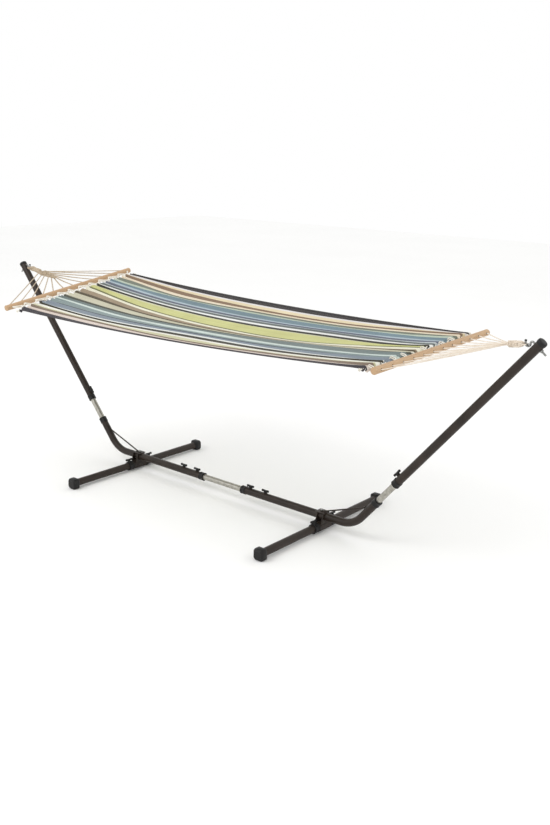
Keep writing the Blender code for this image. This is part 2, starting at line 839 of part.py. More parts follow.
for side in SIDES:
    base_beam(side)
    beam_collar(side)
    stub_collar(side)
    inner_low = up_upright(stub_length - stub_insert)
    inner_high = up_upright(upper_start + upper_insert)
    straight_tube("upright_inner_" + side, inner_low, inner_high, inner_d, inner_wall, side, "bright_tube")
    upper_tube(side)
    upper_collar(side)
    top_cap(side)
    foot_bracket(side)
    saddle_bolt(side)
    brace_rod(side)
    hook(side)
    hook_nut(side)

    # turning half round swaps near and far
    for label, way in (("near", -1), ("far", 1)):
        local_way = way * SIDES[side]
        foot_tube(side, local_way, "foot_tube_" + side + "_" + label)
        foot_cap(side, local_way, "foot_cap_" + side + "_" + label)
        foot_collar(side, local_way, "foot_collar_" + side + "_" + label)
        collar_top = Vector((foot_x, local_way * foot_knob_y(),
                             foot_z + sleeve_d / 2 + touch_gap + foot_collar_wall))
        to_foot_tube = sleeve_d / 2 + foot_collar_wall - tube_d / 2
        knob("foot_knob_" + side + "_" + label, collar_top, (0, 0, 1), (0, 1, 0), to_foot_tube, side)

    to_inner = (tube_d - inner_d) / 2 - touch_gap
    for label, x in zip(("inner", "outer"), beam_knob_places()):
        surface = Vector((x, 0, beam_z + tube_d / 2))
        knob("beam_knob_" + side + "_" + label, surface, (0, 0, 1), (1, 0, 0), to_inner, side)
    surface = up_upright(upper_start + upper_knob_up) + inward_dir * (tube_d / 2)
    knob("upper_knob_" + side, surface, inward_dir, upright_dir, to_inner, side)

    spreader_bar(side)
    hang_ring(side)
    neck_wrap(side)
    clew_cords(side)
    hem_cord(side)

hammock_bed()
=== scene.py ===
import math
import bpy
import bmesh
import numpy as np
from mathutils import Matrix, Vector


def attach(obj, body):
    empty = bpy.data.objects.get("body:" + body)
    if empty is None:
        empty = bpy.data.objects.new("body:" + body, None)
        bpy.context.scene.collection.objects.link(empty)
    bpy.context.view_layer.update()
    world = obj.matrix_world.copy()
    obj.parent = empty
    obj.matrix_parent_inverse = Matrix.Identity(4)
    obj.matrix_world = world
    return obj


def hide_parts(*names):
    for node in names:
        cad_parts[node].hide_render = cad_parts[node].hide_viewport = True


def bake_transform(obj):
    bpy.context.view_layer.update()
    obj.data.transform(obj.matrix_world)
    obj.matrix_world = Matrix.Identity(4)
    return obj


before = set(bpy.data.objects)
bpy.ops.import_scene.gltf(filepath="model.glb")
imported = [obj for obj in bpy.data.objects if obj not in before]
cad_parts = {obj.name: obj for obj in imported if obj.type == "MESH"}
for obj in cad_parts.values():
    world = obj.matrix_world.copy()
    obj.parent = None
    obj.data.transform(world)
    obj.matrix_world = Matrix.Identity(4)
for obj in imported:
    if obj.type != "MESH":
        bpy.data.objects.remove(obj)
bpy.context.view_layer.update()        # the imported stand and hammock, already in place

# Sizes shared by the whole stand, in metres. These are the frame's own sizes.
stand = {
    "tubeWidth": 0.035,
    "innerWidth": 0.028,
    "footX": 0.605,
    "footZ": 0.0255,
    "beamZ": 0.0663,
    "cornerX": 0.767,
    "bendRadius": 0.140,
    "slope": math.radians(50.0),
    "beamStart": 0.127,
    "centreHalf": 0.400,
    "stubLength": 0.190,
    "hiddenInStub": 0.112,
    "upperStart": 0.311,
    "upperEnd": 1.197,
    "hiddenInUpper": 0.220,
    "upperKnob": 0.043,
    "touchGap": 0.0003,
}
tubeRadius, innerRadius = stand["tubeWidth"] / 2, stand["innerWidth"] / 2
touch = stand["touchGap"]
footX, footZ, beamZ = stand["footX"], stand["footZ"], stand["beamZ"]
upright = Vector((math.cos(stand["slope"]), 0, math.sin(stand["slope"])))
inward = Vector((-math.sin(stand["slope"]), 0, math.cos(stand["slope"])))
corner = Vector((stand["cornerX"], 0, beamZ))
ends = {"left": -1, "right": 1}


def upUpright(distance):
    return corner + upright * distance


def turnTo(end):
    # everything on the stand is built at the right end, and turned half round for the left
    return Matrix.Rotation(math.pi, 4, "Z") if end == "left" else Matrix.Identity(4)


def frameOn(origin, zWay, xWay=(0, 1, 0)):
    z = Vector(zWay).normalized()
    x = Vector(xWay)
    if abs(z.dot(x)) > 0.99:
        x = Vector((0, 0, 1))
    x = (x - z * z.dot(x)).normalized()
    return Matrix.Translation(Vector(origin)) @ Matrix((x, z.cross(x), z)).transposed().to_4x4()


# shapes: each is its points, its faces and, where it has them, its UVs in metres


def shapeOf(verts, faces, uvs=None):
    return {"verts": np.array(verts, float).reshape(-1, 3), "faces": faces, "uvs": uvs, "paint": 0}


def placed(points, matrix):
    m = np.array(matrix)
    return points @ m[:3, :3].T + m[:3, 3]


def moved(shape, matrix):
    shape["verts"] = placed(shape["verts"], matrix)
    return shape


def painted(shape, index):
    shape["paint"] = index
    return shape


def circle(sides):
    return np.arange(sides) * 2 * math.pi / sides


def grid(rows, sides, loop=False, around=True):
    # the faces between rows of points
    faces = []
    for i in range(rows if loop else rows - 1):
        a, b = i * sides, (i + 1) % rows * sides
        for j in range(sides if around else sides - 1):
            k = (j + 1) % sides
            faces.append((a + j, a + k, b + k, b + j))
    return faces


def gridUvs(across, along):
    return [((u0, v0), (u1, v0), (u1, v1), (u0, v1)) for v0, v1 in zip(along[:-1], along[1:])
            for u0, u1 in zip(across[:-1], across[1:])]


def fromBmesh(bm):
    bm.verts.index_update()
    shape = shapeOf([v.co[:] for v in bm.verts], [[v.index for v in f.verts] for f in bm.faces])
    bm.free()
    return shape


def distances(points):
    steps = np.linalg.norm(np.diff(points, axis=0), axis=1)
    return np.concatenate([[0.0], np.cumsum(steps)])


def evenly(points, step):
    # points a step apart along straight pieces
    points = np.array([tuple(p) for p in points], float)
    along = distances(points)
    wanted = np.linspace(0, along[-1], max(2, int(round(along[-1] / step)) + 1))
    return np.stack([np.interp(wanted, along, points[:, k]) for k in range(3)], axis=1)


def flowing(points, step, loop=False):
    # a smooth curve through the points
    p = np.array([tuple(q) for q in points], float)
    if loop:
        p = np.vstack([p[-1:], p, p[:2]])
    else:
        p = np.vstack([2 * p[0] - p[1], p, 2 * p[-1] - p[-2]])
    out = []
    for a, b, c, d in zip(p[:-3], p[1:-2], p[2:-1], p[3:]):
        n = max(2, int(np.linalg.norm(c - b) / step))
        for t in np.arange(n) / n:
            out.append(0.5 * (2 * b + (c - a) * t + (2 * a - 5 * b + 4 * c - d) * t ** 2
                              + (3 * b - a - 3 * c + d) * t ** 3))
    if not loop:
        out.append(p[-2])
    return np.array(out)


def sweep(points, radius, sides=32, loop=False):
    # a round bar along the points. radius is a number, one for each point, or a rule of distance and angle
    points = np.array([tuple(p) for p in points], float)
    count = len(points)
    if loop:
        way = np.roll(points, -1, 0) - np.roll(points, 1, 0)
    else:
        way = np.vstack([points[1:], points[-1:]]) - np.vstack([points[:1], points[:-1]])
    way /= np.linalg.norm(way, axis=1)[:, None]
    side = np.cross(way[0], (0, 1, 0))
    if np.linalg.norm(side) < 0.05:
        side = np.cross(way[0], (0, 0, 1))
    across = []
    for t in way:
        side = side - t * side.dot(t)
        side = side / np.linalg.norm(side)
        across.append(side)
    across = np.array(across)
    up = np.cross(way, across)
    run = distances(points)
    angles = circle(sides)
    if callable(radius):
        radii = radius(run[:, None], angles[None, :])
    else:
        radii = np.broadcast_to(np.array(radius, float).reshape(-1, 1), (count, sides))
    c, s = np.cos(angles)[None, :, None], np.sin(angles)[None, :, None]
    verts = points[:, None, :] + (across[:, None, :] * c + up[:, None, :] * s) * radii[:, :, None]
    faces = grid(count, sides, loop)
    along = np.append(run, run[-1] + 0.001) if loop else run
    uvs = gridUvs(np.append(angles, 2 * math.pi) * np.mean(radii), along)
    if not loop:
        for start in (0, (count - 1) * sides):
            cap = list(range(start, start + sides))
            faces.append(cap if start else cap[::-1])
            uvs.append([(math.cos(a) * 0.01, math.sin(a) * 0.01) for a in angles])
    return shapeOf(verts, faces, uvs)


def lathe(profile, place, sides=40, change=None):
    # a turned shape from (radius, height) pairs
    profile = [(max(r, 1e-6), h) for r, h in profile]
    angles = circle(sides)
    verts = []
    for r, h in profile:
        radii = np.full(sides, r) if change is None else change(r, angles)
        verts.append(np.stack([radii * np.cos(angles), radii * np.sin(angles), np.full(sides, h)], axis=1))
    run = distances(np.array([(r, h, 0) for r, h in profile]))
    uvs = gridUvs(np.linspace(0, 0.08, sides + 1), run)
    return moved(shapeOf(np.concatenate(verts), grid(len(profile), sides), uvs), place)


def roundedBox(size, place, radius, segments=3):
    bm = bmesh.new()
    bmesh.ops.create_cube(bm, size=1.0)
    bmesh.ops.scale(bm, vec=size, verts=bm.verts)
    bmesh.ops.bevel(bm, geom=list(bm.edges), offset=radius, segments=segments, profile=0.5, affect="EDGES")
    return moved(fromBmesh(bm), place)


def plate(outline, thickness, place, edge=0.0005):
    # a flat outline with softened edges
    bm = bmesh.new()
    face = bm.faces.new([bm.verts.new((x, y, -thickness / 2)) for x, y in outline])
    grown = bmesh.ops.extrude_face_region(bm, geom=[face])
    bmesh.ops.translate(bm, vec=(0, 0, thickness),
                        verts=[g for g in grown["geom"] if isinstance(g, bmesh.types.BMVert)])
    rims = [e for e in bm.edges if abs(e.verts[0].co.z - e.verts[1].co.z) < 1e-6]
    bmesh.ops.bevel(bm, geom=rims, offset=edge, segments=2, profile=0.5, affect="EDGES")
    return moved(fromBmesh(bm), place)


def loft(sections, place, sides=28, power=3.0):
    # rounded oblongs (along, half width, half height, middle height) one after another, closed at both ends
    c, s = np.cos(circle(sides)), np.sin(circle(sides))
    x = np.sign(c) * np.abs(c) ** (2 / power)
    y = np.sign(s) * np.abs(s) ** (2 / power)
    verts = [np.stack([np.full(sides, along), x * halfWide, y * halfHigh + middle], axis=1)
             for along, halfWide, halfHigh, middle in sections]
    faces = grid(len(sections), sides)
    faces.append(tuple(range(sides))[::-1])
    faces.append(tuple(range((len(sections) - 1) * sides, len(sections) * sides)))
    return moved(shapeOf(np.concatenate(verts), faces), place)


weld = {"step": 0.0009, "ripple": 0.0028, "rippleHigh": 0.14, "uneven": 0.024, "endSize": 0.4,
        "ringSteps": 96, "ringRipples": 9, "ringRippleHigh": 0.16}


def bead(start, end, radius, seed):
    # a weld seam: a low bar with the ripples that a welder leaves
    start, end = Vector(start), Vector(end)
    points = evenly([start, end], weld["step"])
    wobble = np.random.default_rng(seed).normal(0, 1, len(points)) * weld["uneven"]
    run = np.linspace(0, (end - start).length, len(points))
    radii = radius * (1 + weld["rippleHigh"] * np.abs(np.sin(run * math.pi / weld["ripple"])) + wobble)
    radii[0] = radii[-1] = radius * weld["endSize"]
    return sweep(points, radii, 10)


def ringBead(place, radius, thick):
    angles = circle(weld["ringSteps"])
    flat = np.stack([np.cos(angles) * radius, np.sin(angles) * radius, np.zeros(len(angles))], axis=1)
    ripples = 1 + weld["ringRippleHigh"] * np.abs(np.sin(angles * weld["ringRipples"]))
    return sweep(placed(flat, place), thick * ripples, 8, loop=True)


def ropeRadius(radius, pitch, depth=0.24, strands=3):
    # strands laid round each other
    def rule(run, angle):
        turn = strands / 2 * (angle - 2 * math.pi * run / pitch)
        return radius * (1 - depth + depth * np.abs(np.cos(turn)))
    return rule


def rope(points, width, step, sides=10, loop=False):
    return sweep(flowing(points, step, loop), ropeRadius(width / 2, width * 3.6), sides, loop)


collection = bpy.data.collections.new("hammockOnStand")
bpy.context.scene.collection.children.link(collection)
finishes = {}


def makePiece(name, shapes, finishNames, turn=None, sharp=38.0, merge=True):
    verts, faces, uvs, paints, base = [], [], [], [], 0
    for shape in shapes:
        verts.append(shape["verts"])
        faces += [tuple(i + base for i in f) for f in shape["faces"]]
        for k, f in enumerate(shape["faces"]):
            uvs += list(shape["uvs"][k]) if shape["uvs"] is not None else [(0.0, 0.0)] * len(f)
        paints += [shape["paint"]] * len(shape["faces"])
        base += len(shape["verts"])
    verts = np.concatenate(verts)
    mesh = bpy.data.meshes.new(name)
    mesh.from_pydata((verts if turn is None else placed(verts, turn)).tolist(), [], faces)
    mesh.uv_layers.new(name="metres").data.foreach_set("uv", np.array(uvs, np.float32).ravel())
    mesh.polygons.foreach_set("material_index", np.array(paints, np.int32))
    for finishName in finishNames:
        mesh.materials.append(finishes[finishName])
    bm = bmesh.new()
    bm.from_mesh(mesh)
    if merge:
        bmesh.ops.remove_doubles(bm, verts=bm.verts, dist=2e-6)
    bmesh.ops.recalc_face_normals(bm, faces=bm.faces)
    bm.to_mesh(mesh)
    bm.free()
    mesh.polygons.foreach_set("use_smooth", np.ones(len(mesh.polygons), bool))
    mesh.set_sharp_from_angle(angle=math.radians(sharp))
    obj = bpy.data.objects.new(name, mesh)
    collection.objects.link(obj)
    return obj


def nodePiece(nodeName, shapes, finishNames, body, end="right", name=None, sharp=38.0, merge=True):
    # one piece for one of the frame's nodes, with the node's name in camel case. With no body, it is attached to none
    if name is None:
        words = nodeName.split("_")
        name = words[0] + "".join(word.capitalize() for word in words[1:])
    obj = makePiece(name, shapes, finishNames, turnTo(end), sharp, merge)
    if body:
        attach(obj, body)
    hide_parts(nodeName)
    return obj


# finishes


def colour(r, g, b):
    # from the usual 0 to 255 values
    def one(v):
        v = v / 255
        return v / 12.92 if v <= 0.04045 else ((v + 0.055) / 1.055) ** 2.4
    return (one(r), one(g), one(b), 1.0)


black, white = (0, 0, 0, 1), (1, 1, 1, 1)


class Finish:
    def __init__(self, name, roughness, metal=0.0, gloss=0.5):
        self.material = bpy.data.materials.new(name)
        self.material.use_nodes = True
        self.tree = self.material.node_tree
        self.shader = self.tree.nodes["Principled BSDF"]
        self.roughness = roughness
        for socket, value in (("Metallic", metal), ("Roughness", roughness), ("Specular IOR Level", gloss)):
            self.feed(self.shader.inputs[socket], value)

    def feed(self, socket, value):
        # a value, or a link from another node
        if isinstance(value, (float, int, tuple)):
            socket.default_value = value
        else:
            self.tree.links.new(value, socket)

    def add(self, kind, inputs, **settings):
        made = self.tree.nodes.new(kind)
        for key, value in settings.items():
            setattr(made, key, value)
        for key, value in inputs.items():
            self.feed(made.inputs[key], value)
        return made

    def colour(self, value):
        self.feed(self.shader.inputs["Base Color"], value)

    def place(self, scale=(1, 1, 1), source=None):
        source = source or self.add("ShaderNodeTexCoord", {}).outputs["Object"]
        return self.add("ShaderNodeMapping", {"Vector": source, "Scale": scale}).outputs["Vector"]

    def noise(self, place, scale, detail=3.0, rough=0.5):
        inputs = {"Vector": place, "Scale": scale, "Detail": detail, "Roughness": rough}
        return self.add("ShaderNodeTexNoise", inputs).outputs["Fac"]

    def ramp(self, value, *stops, step=False):
        made = self.add("ShaderNodeValToRGB", {"Fac": value})
        made.color_ramp.interpolation = "CONSTANT" if step else "LINEAR"
        marks = made.color_ramp.elements
        while len(marks) > 1:
            marks.remove(marks[-1])
        marks[0].position, marks[0].color = stops[0]
        for position, tint in stops[1:]:
            marks.new(position).color = tint
        return made.outputs["Color"]

    def mix(self, share, a, b, kind="MIX"):
        inputs = {"Factor": share, 6: a, 7: b}
        return self.add("ShaderNodeMix", inputs, data_type="RGBA", blend_type=kind).outputs[2]

    def math(self, operation, *values):
        return self.add("ShaderNodeMath", dict(enumerate(values)), operation=operation).outputs[0]

    def rough(self, value, less, more):
        # roughness from a little under the finish's own to a little over
        inputs = {"Value": value, "To Min": self.roughness - less, "To Max": self.roughness + more}
        self.feed(self.shader.inputs["Roughness"], self.add("ShaderNodeMapRange", inputs).outputs["Result"])

    def bump(self, height, strength, distance, under=None):
        inputs = {"Height": height, "Strength": strength, "Distance": distance}
        if under is not None:
            inputs["Normal"] = under
        out = self.add("ShaderNodeBump", inputs).outputs["Normal"]
        self.feed(self.shader.inputs["Normal"], out)
        return out


def powderCoat(name, values):
    f = Finish(name, values["roughness"], gloss=values["gloss"])
    place = f.place()
    base = f.ramp(f.noise(place, values["patches"], 4.0), (0.30, values["dark"]), (0.72, values["light"]))
    dust = f.noise(place, values["specks"], 6.0, 0.65)
    dustShare = f.ramp(dust, (0.52, black), (0.80, (values["dust"],) * 3 + (1,)))
    f.colour(f.mix(dustShare, base, values["dustColour"]))
    f.rough(dust, 0.08, 0.12)
    peel = f.bump(f.noise(place, values["peelScale"], 2.0), values["peel"], 0.0006)
    f.bump(f.noise(place, values["grainScale"], 1.0), 0.10, 0.0002, peel)
    return f.material


def galvanised(name, values):
    f = Finish(name, values["roughness"], metal=1.0)
    along = f.add("ShaderNodeTexCoord", {}).outputs["UV"]
    flakes = f.add("ShaderNodeTexVoronoi", {"Vector": f.place(source=along), "Scale": values["flakes"]})
    parts = f.add("ShaderNodeSeparateColor", {"Color": flakes.outputs["Color"]})
    base = f.ramp(parts.outputs["Red"], (0.0, values["dark"]), (1.0, values["light"]))
    lines = f.noise(f.place((1.0, 0.03, 1.0), along), values["lines"], 3.0)
    f.colour(f.mix(0.35, base, f.ramp(lines, (0.3, values["dark"]), (0.7, values["light"]))))
    f.rough(lines, 0.10, 0.12)
    f.bump(lines, 0.16, 0.0003)
    return f.material


def mouldedPlastic(name, values):
    f = Finish(name, values["roughness"], gloss=0.35)
    place = f.place()
    scuffs = f.noise(place, values["scuffs"], 6.0, 0.7)
    f.colour(f.ramp(scuffs, (0.35, values["dark"]), (0.62, values["mid"]), (0.86, values["scuff"])))
    f.rough(scuffs, 0.10, 0.16)
    grain = f.bump(f.noise(place, 1500.0, 2.0), values["grain"], 0.0003)
    f.bump(f.noise(place, 260.0, 2.0), 0.12, 0.0005, grain)
    return f.material


def brightZinc(name, values):
    f = Finish(name, values["roughness"], metal=1.0)
    place = f.place()
    mottle = f.noise(place, values["mottle"], 5.0, 0.6)
    f.colour(f.ramp(mottle, (0.30, values["dark"]), (0.65, values["light"])))
    f.rough(mottle, 0.08, 0.16)
    f.bump(f.noise(place, 1100.0, 2.0), 0.15, 0.0002)
    return f.material


def turnedWood(name, values):
    # growth rings round a heart line outside the bar, so that sides and sawn ends both show them rightly
    f = Finish(name, values["roughness"], gloss=0.35)
    place = f.place((1, 0.07, 1))
    bend = f.noise(place, 26.0, 3.0)
    heart = f.add("ShaderNodeMapping", {"Vector": place, "Location": (0.045, 0.0, 0.030)})
    rings = f.add("ShaderNodeTexWave", {"Vector": heart.outputs["Vector"], "Scale": values["rings"],
                                        "Distortion": 3.2, "Detail": 3.0, "Detail Scale": 1.2},
                  wave_type="RINGS", rings_direction="Y", wave_profile="SAW")
    base = f.ramp(rings.outputs["Fac"], (0.0, values["early"]), (0.7, values["middle"]), (1.0, values["late"]))
    toned = f.mix(0.5, base, f.ramp(bend, (0.3, values["middle"]), (0.7, values["early"])))
    fibres = f.noise(f.place((1, 0.03, 1)), values["fibres"], 4.0)
    f.colour(f.mix(0.55, toned, f.ramp(fibres, (0.30, values["pore"]), (0.48, white)), "MULTIPLY"))
    f.rough(fibres, 0.08, 0.12)
    f.bump(fibres, 0.28, 0.0004)
    return f.material


def spunCotton(name, values):
    f = Finish(name, 0.88, gloss=0.15)
    f.feed(f.shader.inputs["Sheen Weight"], 0.25)
    f.feed(f.shader.inputs["Sheen Roughness"], 0.5)
    place = f.place()
    base = f.ramp(f.noise(place, 60.0, 4.0), (0.30, values["dark"]), (0.70, values["light"]))
    fuzz = f.noise(place, 1700.0, 3.0)
    f.colour(f.mix(0.4, base, f.ramp(fuzz, (0.35, values["shade"]), (0.6, white)), "MULTIPLY"))
    f.bump(fuzz, 0.5, 0.0005)
    return f.material


finishes.update({
    "stand": powderCoat("standPowderCoat", {
        "dark": colour(38, 31, 26), "light": colour(51, 42, 36), "dust": 0.10,
        "dustColour": colour(96, 84, 74), "roughness": 0.40, "gloss": 0.28, "patches": 14.0,
        "specks": 55.0, "peel": 0.22, "peelScale": 620.0, "grainScale": 2400.0}),
    "bright": galvanised("brightTubeZinc", {
        "dark": colour(148, 145, 137), "light": colour(190, 187, 178), "flakes": 120.0, "lines": 900.0,
        "roughness": 0.36}),
    "plastic": mouldedPlastic("blackPlastic", {
        "dark": colour(11, 10, 10), "mid": colour(18, 17, 16), "scuff": colour(48, 45, 43),
        "roughness": 0.46, "scuffs": 90.0, "grain": 0.25}),
    "zinc": brightZinc("hookZinc", {
        "dark": colour(118, 118, 116), "light": colour(168, 168, 165), "mottle": 240.0, "roughness": 0.34}),
    # a dark sleeve over the hook's tip
    "tip": mouldedPlastic("hookTipCoat", {
        "dark": colour(34, 32, 32), "mid": colour(48, 46, 45), "scuff": colour(86, 84, 82),
        "roughness": 0.55, "scuffs": 90.0, "grain": 0.2}),
    "wood": turnedWood("barWood", {
        "early": colour(198, 168, 133), "middle": colour(184, 151, 116), "late": colour(156, 121, 88),
        "pore": colour(200, 180, 160), "rings": 52.0, "fibres": 1300.0, "roughness": 0.52}),
    "cord": spunCotton("clewCotton", {
        "dark": colour(176, 160, 137), "light": colour(207, 191, 167), "shade": colour(172, 158, 142)}),
    # painted light: the right end's cords are the same cotton made lighter, for the light on that end
    "paleCord": spunCotton("paintedLightClewCotton", {
        "dark": colour(222, 208, 190), "light": colour(242, 232, 218), "shade": colour(208, 196, 182)}),
    # the hole walls: the bar's wood made much darker, painted shade inside the drilled holes, on rough drilled grain
    "holeWood": turnedWood("barHoleShadeWood", {
        "early": colour(120, 92, 64), "middle": colour(104, 78, 54), "late": colour(82, 60, 42),
        "pore": colour(150, 128, 108), "rings": 52.0, "fibres": 1300.0, "roughness": 0.8}),
    "whiteCord": spunCotton("lacingCotton", {
        "dark": colour(228, 222, 208), "light": colour(244, 241, 232), "shade": colour(208, 202, 192)}),
})
print("finishes made:", ", ".join(finishes))


# stand tubes


def pathArc(centre, radius, first, last, steps):
    return [centre + Vector((math.cos(a), 0, math.sin(a))) * radius
            for a in (first + (last - first) * i / steps for i in range(1, steps + 1))]


beamValues = {
    "sides": 56,
    "bossRadius": 0.0080,
    "bossBore": 0.0034,
    "bossHeight": 0.003,
    "bossSunk": 0.001,
    "bossEdge": 0.0006,
    "bossWeld": 0.0009,
    "knobPlaces": {"inner": 0.176, "outer": 0.268},
    "bendSteps": 30,
}


def weldedNut(surface, outward):
    # the nut that a knob screws into, with its weld
    place = frameOn(surface, outward)
    r, h, bore = beamValues["bossRadius"], beamValues["bossHeight"], beamValues["bossBore"]
    low, edge = -beamValues["bossSunk"], beamValues["bossEdge"]
    profile = [(bore, low), (r, low), (r, h - edge), (r - edge, h), (bore, h), (bore, low)]
    return [lathe(profile, place, 32),
            ringBead(place @ Matrix.Translation((0, 0, 0.0004)), r + 0.0003, beamValues["bossWeld"])]


def baseBeam(end):
    radius, slope = stand["bendRadius"], stand["slope"]
    bendStart = stand["cornerX"] - radius * math.tan(slope / 2)
    points = list(evenly([(stand["beamStart"], 0, beamZ), (bendStart, 0, beamZ)], 0.02))
    points += pathArc(Vector((bendStart, 0, beamZ + radius)), radius, -math.pi / 2, slope - math.pi / 2,
                      beamValues["bendSteps"])
    points += list(evenly([Vector(points[-1]), upUpright(stand["stubLength"])], 0.02))[1:]
    shapes = [sweep(points, tubeRadius, beamValues["sides"])]
    for x in beamValues["knobPlaces"].values():
        shapes += weldedNut((x, 0, beamZ + tubeRadius), (0, 0, 1))
    nodePiece("base_beam_" + end, shapes, ["stand"], end + "_stand", end)


def straightTube(nodeName, start, stop, radius, finish, body, end="right", name=None, extra=()):
    shapes = [sweep(evenly([start, stop], 0.025), radius, beamValues["sides"])] + list(extra)
    nodePiece(nodeName, shapes, [finish], body, end, name)


straightTube("centre_tube", (-stand["centreHalf"], 0, beamZ), (stand["centreHalf"], 0, beamZ), innerRadius,
             "bright", "centre_tube")
upperKnobPoint = upUpright(stand["upperStart"] + stand["upperKnob"]) + inward * tubeRadius
for end in ends:
    baseBeam(end)
    straightTube("upper_tube_" + end, upUpright(stand["upperStart"]), upUpright(stand["upperEnd"]), tubeRadius,
                 "stand", end + "_upper", end, extra=weldedNut(upperKnobPoint, inward))
    straightTube("upright_inner_" + end, upUpright(stand["stubLength"] - stand["hiddenInStub"]),
                 upUpright(stand["upperStart"] + stand["hiddenInUpper"]), innerRadius,
                 "bright", end + "_stand", end, "brightUpright" + end.capitalize())
print("tubes made")


# plastic collars and caps

collarValues = {
    "length": 0.027,
    "lip": 0.003,
    "wall": 0.0021,
    "footLength": 0.032,
    "footWall": 0.0022,
    "slideGap": 0.0005,
    "waist": 0.0005,
    "rimEdge": 0.0008,
}


def collarShape(face, outWay, outer, core, length, wall):
    # a bush on a tube's end: rolled rim, slim waist, lip with a softened edge
    skirtIn = outer + touch
    skirtOut = skirtIn + wall
    slim = skirtOut - collarValues["waist"]
    coreIn, rim = core + collarValues["slideGap"], collarValues["rimEdge"]
    lip = collarValues["lip"] - touch
    profile = [(skirtIn, -lip), (skirtIn, -length), (slim, -length), (skirtOut, -length + 0.0005),
               (skirtOut, -length + 0.0028), (slim, -length + 0.0036), (slim, -0.0050),
               (skirtOut, -0.0042), (skirtOut, -0.0014), (slim, -0.0004), (skirtOut - 0.0014, 0),
               (coreIn + rim, 0), (coreIn, -rim), (coreIn, -lip), (skirtIn, -lip)]
    return lathe(profile, frameOn(face, outWay), 56)


def collars(end):
    lip = collarValues["lip"]
    places = (
        ("beam_collar_", (stand["beamStart"] - lip, 0, beamZ), (-1, 0, 0), "_stand"),
        ("stub_collar_", upUpright(stand["stubLength"] + lip), upright, "_stand"),
        ("upper_collar_", upUpright(stand["upperStart"] - lip), -upright, "_upper"),
    )
    for nodeName, face, way, body in places:
        shape = collarShape(face, way, tubeRadius, innerRadius, collarValues["length"], collarValues["wall"])
        nodePiece(nodeName + end, [shape], ["plastic"], end + body, end)


def topCap(end):
    inside = tubeRadius + touch
    outside = inside + 0.0014
    profile = [(0, 0.004), (outside * 0.55, 0.0038), (outside - 0.0030, 0.0030), (outside - 0.0012, 0.0016),
               (outside - 0.0002, -0.0006), (outside, -0.0020), (outside, -0.0112), (outside - 0.0004, -0.0120),
               (inside, -0.0120), (inside, -0.0005), (0, -0.0005)]
    shape = lathe(profile, frameOn(upUpright(stand["upperEnd"]), upright), 56)
    nodePiece("top_cap_" + end, [shape], ["plastic"], end + "_upper", end)


for end in ends:
    collars(end)
    topCap(end)
print("collars and caps made")


# feet

footValues = {
    "length": 0.883,
    "capSize": 0.051,
    "capLength": 0.042,
    "capWall": 0.0083,
    "capCut": 0.009,
    "capBulge": 0.0012,
    "tubeStart": 0.012,
    "sleeveRadius": 0.020,
    "sleeveWall": 0.002,
    "sleeveHalf": 0.074,
    "webSpacing": 0.033,
    "webThick": 0.003,
    "webLow": 0.010,
    "webHalf": 0.041,
    "webWeld": 0.0016,
    "webWeldHalf": 0.040,
    "cornerWeld": 0.0014,
    "strapTop": 0.0871,
    "strapThick": 0.003,
    "strapSize": (0.049, 0.044),
    "strapBack": 0.0055,
    "strapEdge": 0.0009,
    "strapWeld": 0.0013,
    "strapWeldSpans": ((-0.0205, -0.008), (0.008, 0.0205)),
    "knobY": 0.068,
}


def footBracket(end):
    half, r = footValues["sleeveHalf"], footValues["sleeveRadius"]
    inner, rim = r - footValues["sleeveWall"], 0.0004
    sleeve = [(inner, -half), (r - rim, -half), (r, -half + rim), (r, half - rim), (r - rim, half),
              (inner, half), (inner, -half)]
    shapes = [lathe(sleeve, frameOn((footX, 0, footZ), (0, 1, 0)), 56)]
    # each web is cut out for the beam
    strapTop, thick = footValues["strapTop"], footValues["strapThick"]
    top, low, wide = strapTop - thick - footZ, footValues["webLow"] - footZ, footValues["webHalf"]
    start = math.radians(78)
    cradle = [(math.cos(a) * (tubeRadius + touch), beamZ - footZ + math.sin(a) * (tubeRadius + touch))
              for a in (start - (math.pi + 2 * start) * i / 28 for i in range(29))]
    edge = [(wide, low), (wide, low + 0.018), (wide - 0.003, low + 0.024), (0.024, top - 0.003), (0.021, top)]
    outline = edge + cradle + [(-x, y) for x, y in reversed(edge)]
    weldHalf = footValues["webWeldHalf"]
    for sign in (-1, 1):
        webX = footX + sign * footValues["webSpacing"] / 2
        shapes.append(plate(outline, footValues["webThick"], frameOn((webX, 0, footZ), (1, 0, 0), (0, 1, 0))))
        for side in (-1, 1):
            px = webX + side * (footValues["webThick"] / 2 + 0.0002)
            reach = r * r - (px - footX) ** 2
            if reach > 0:
                pz = footZ + math.sqrt(reach)
                shapes.append(bead((px, -weldHalf, pz), (px, weldHalf, pz), footValues["webWeld"], 7 + sign + side))
        for y in (-weldHalf - 0.0005, weldHalf + 0.0005):
            shapes.append(bead((webX - 0.004, y, footZ + 0.0125), (webX + 0.004, y, footZ + 0.0100),
                               footValues["cornerWeld"], 21))
    strap = Matrix.Translation((footX - footValues["strapBack"], 0, strapTop - thick / 2))
    shapes.append(roundedBox(footValues["strapSize"] + (thick,), strap, footValues["strapEdge"]))
    for sign in (-1, 1):
        px = footX + sign * (footValues["webSpacing"] / 2 + 0.0016)
        pz = strapTop - thick - 0.0002
        for y0, y1 in footValues["strapWeldSpans"]:
            shapes.append(bead((px, y0, pz), (px, y1, pz), footValues["strapWeld"], 31))
    nodePiece("foot_bracket_" + end, shapes, ["stand"], end + "_stand", end)


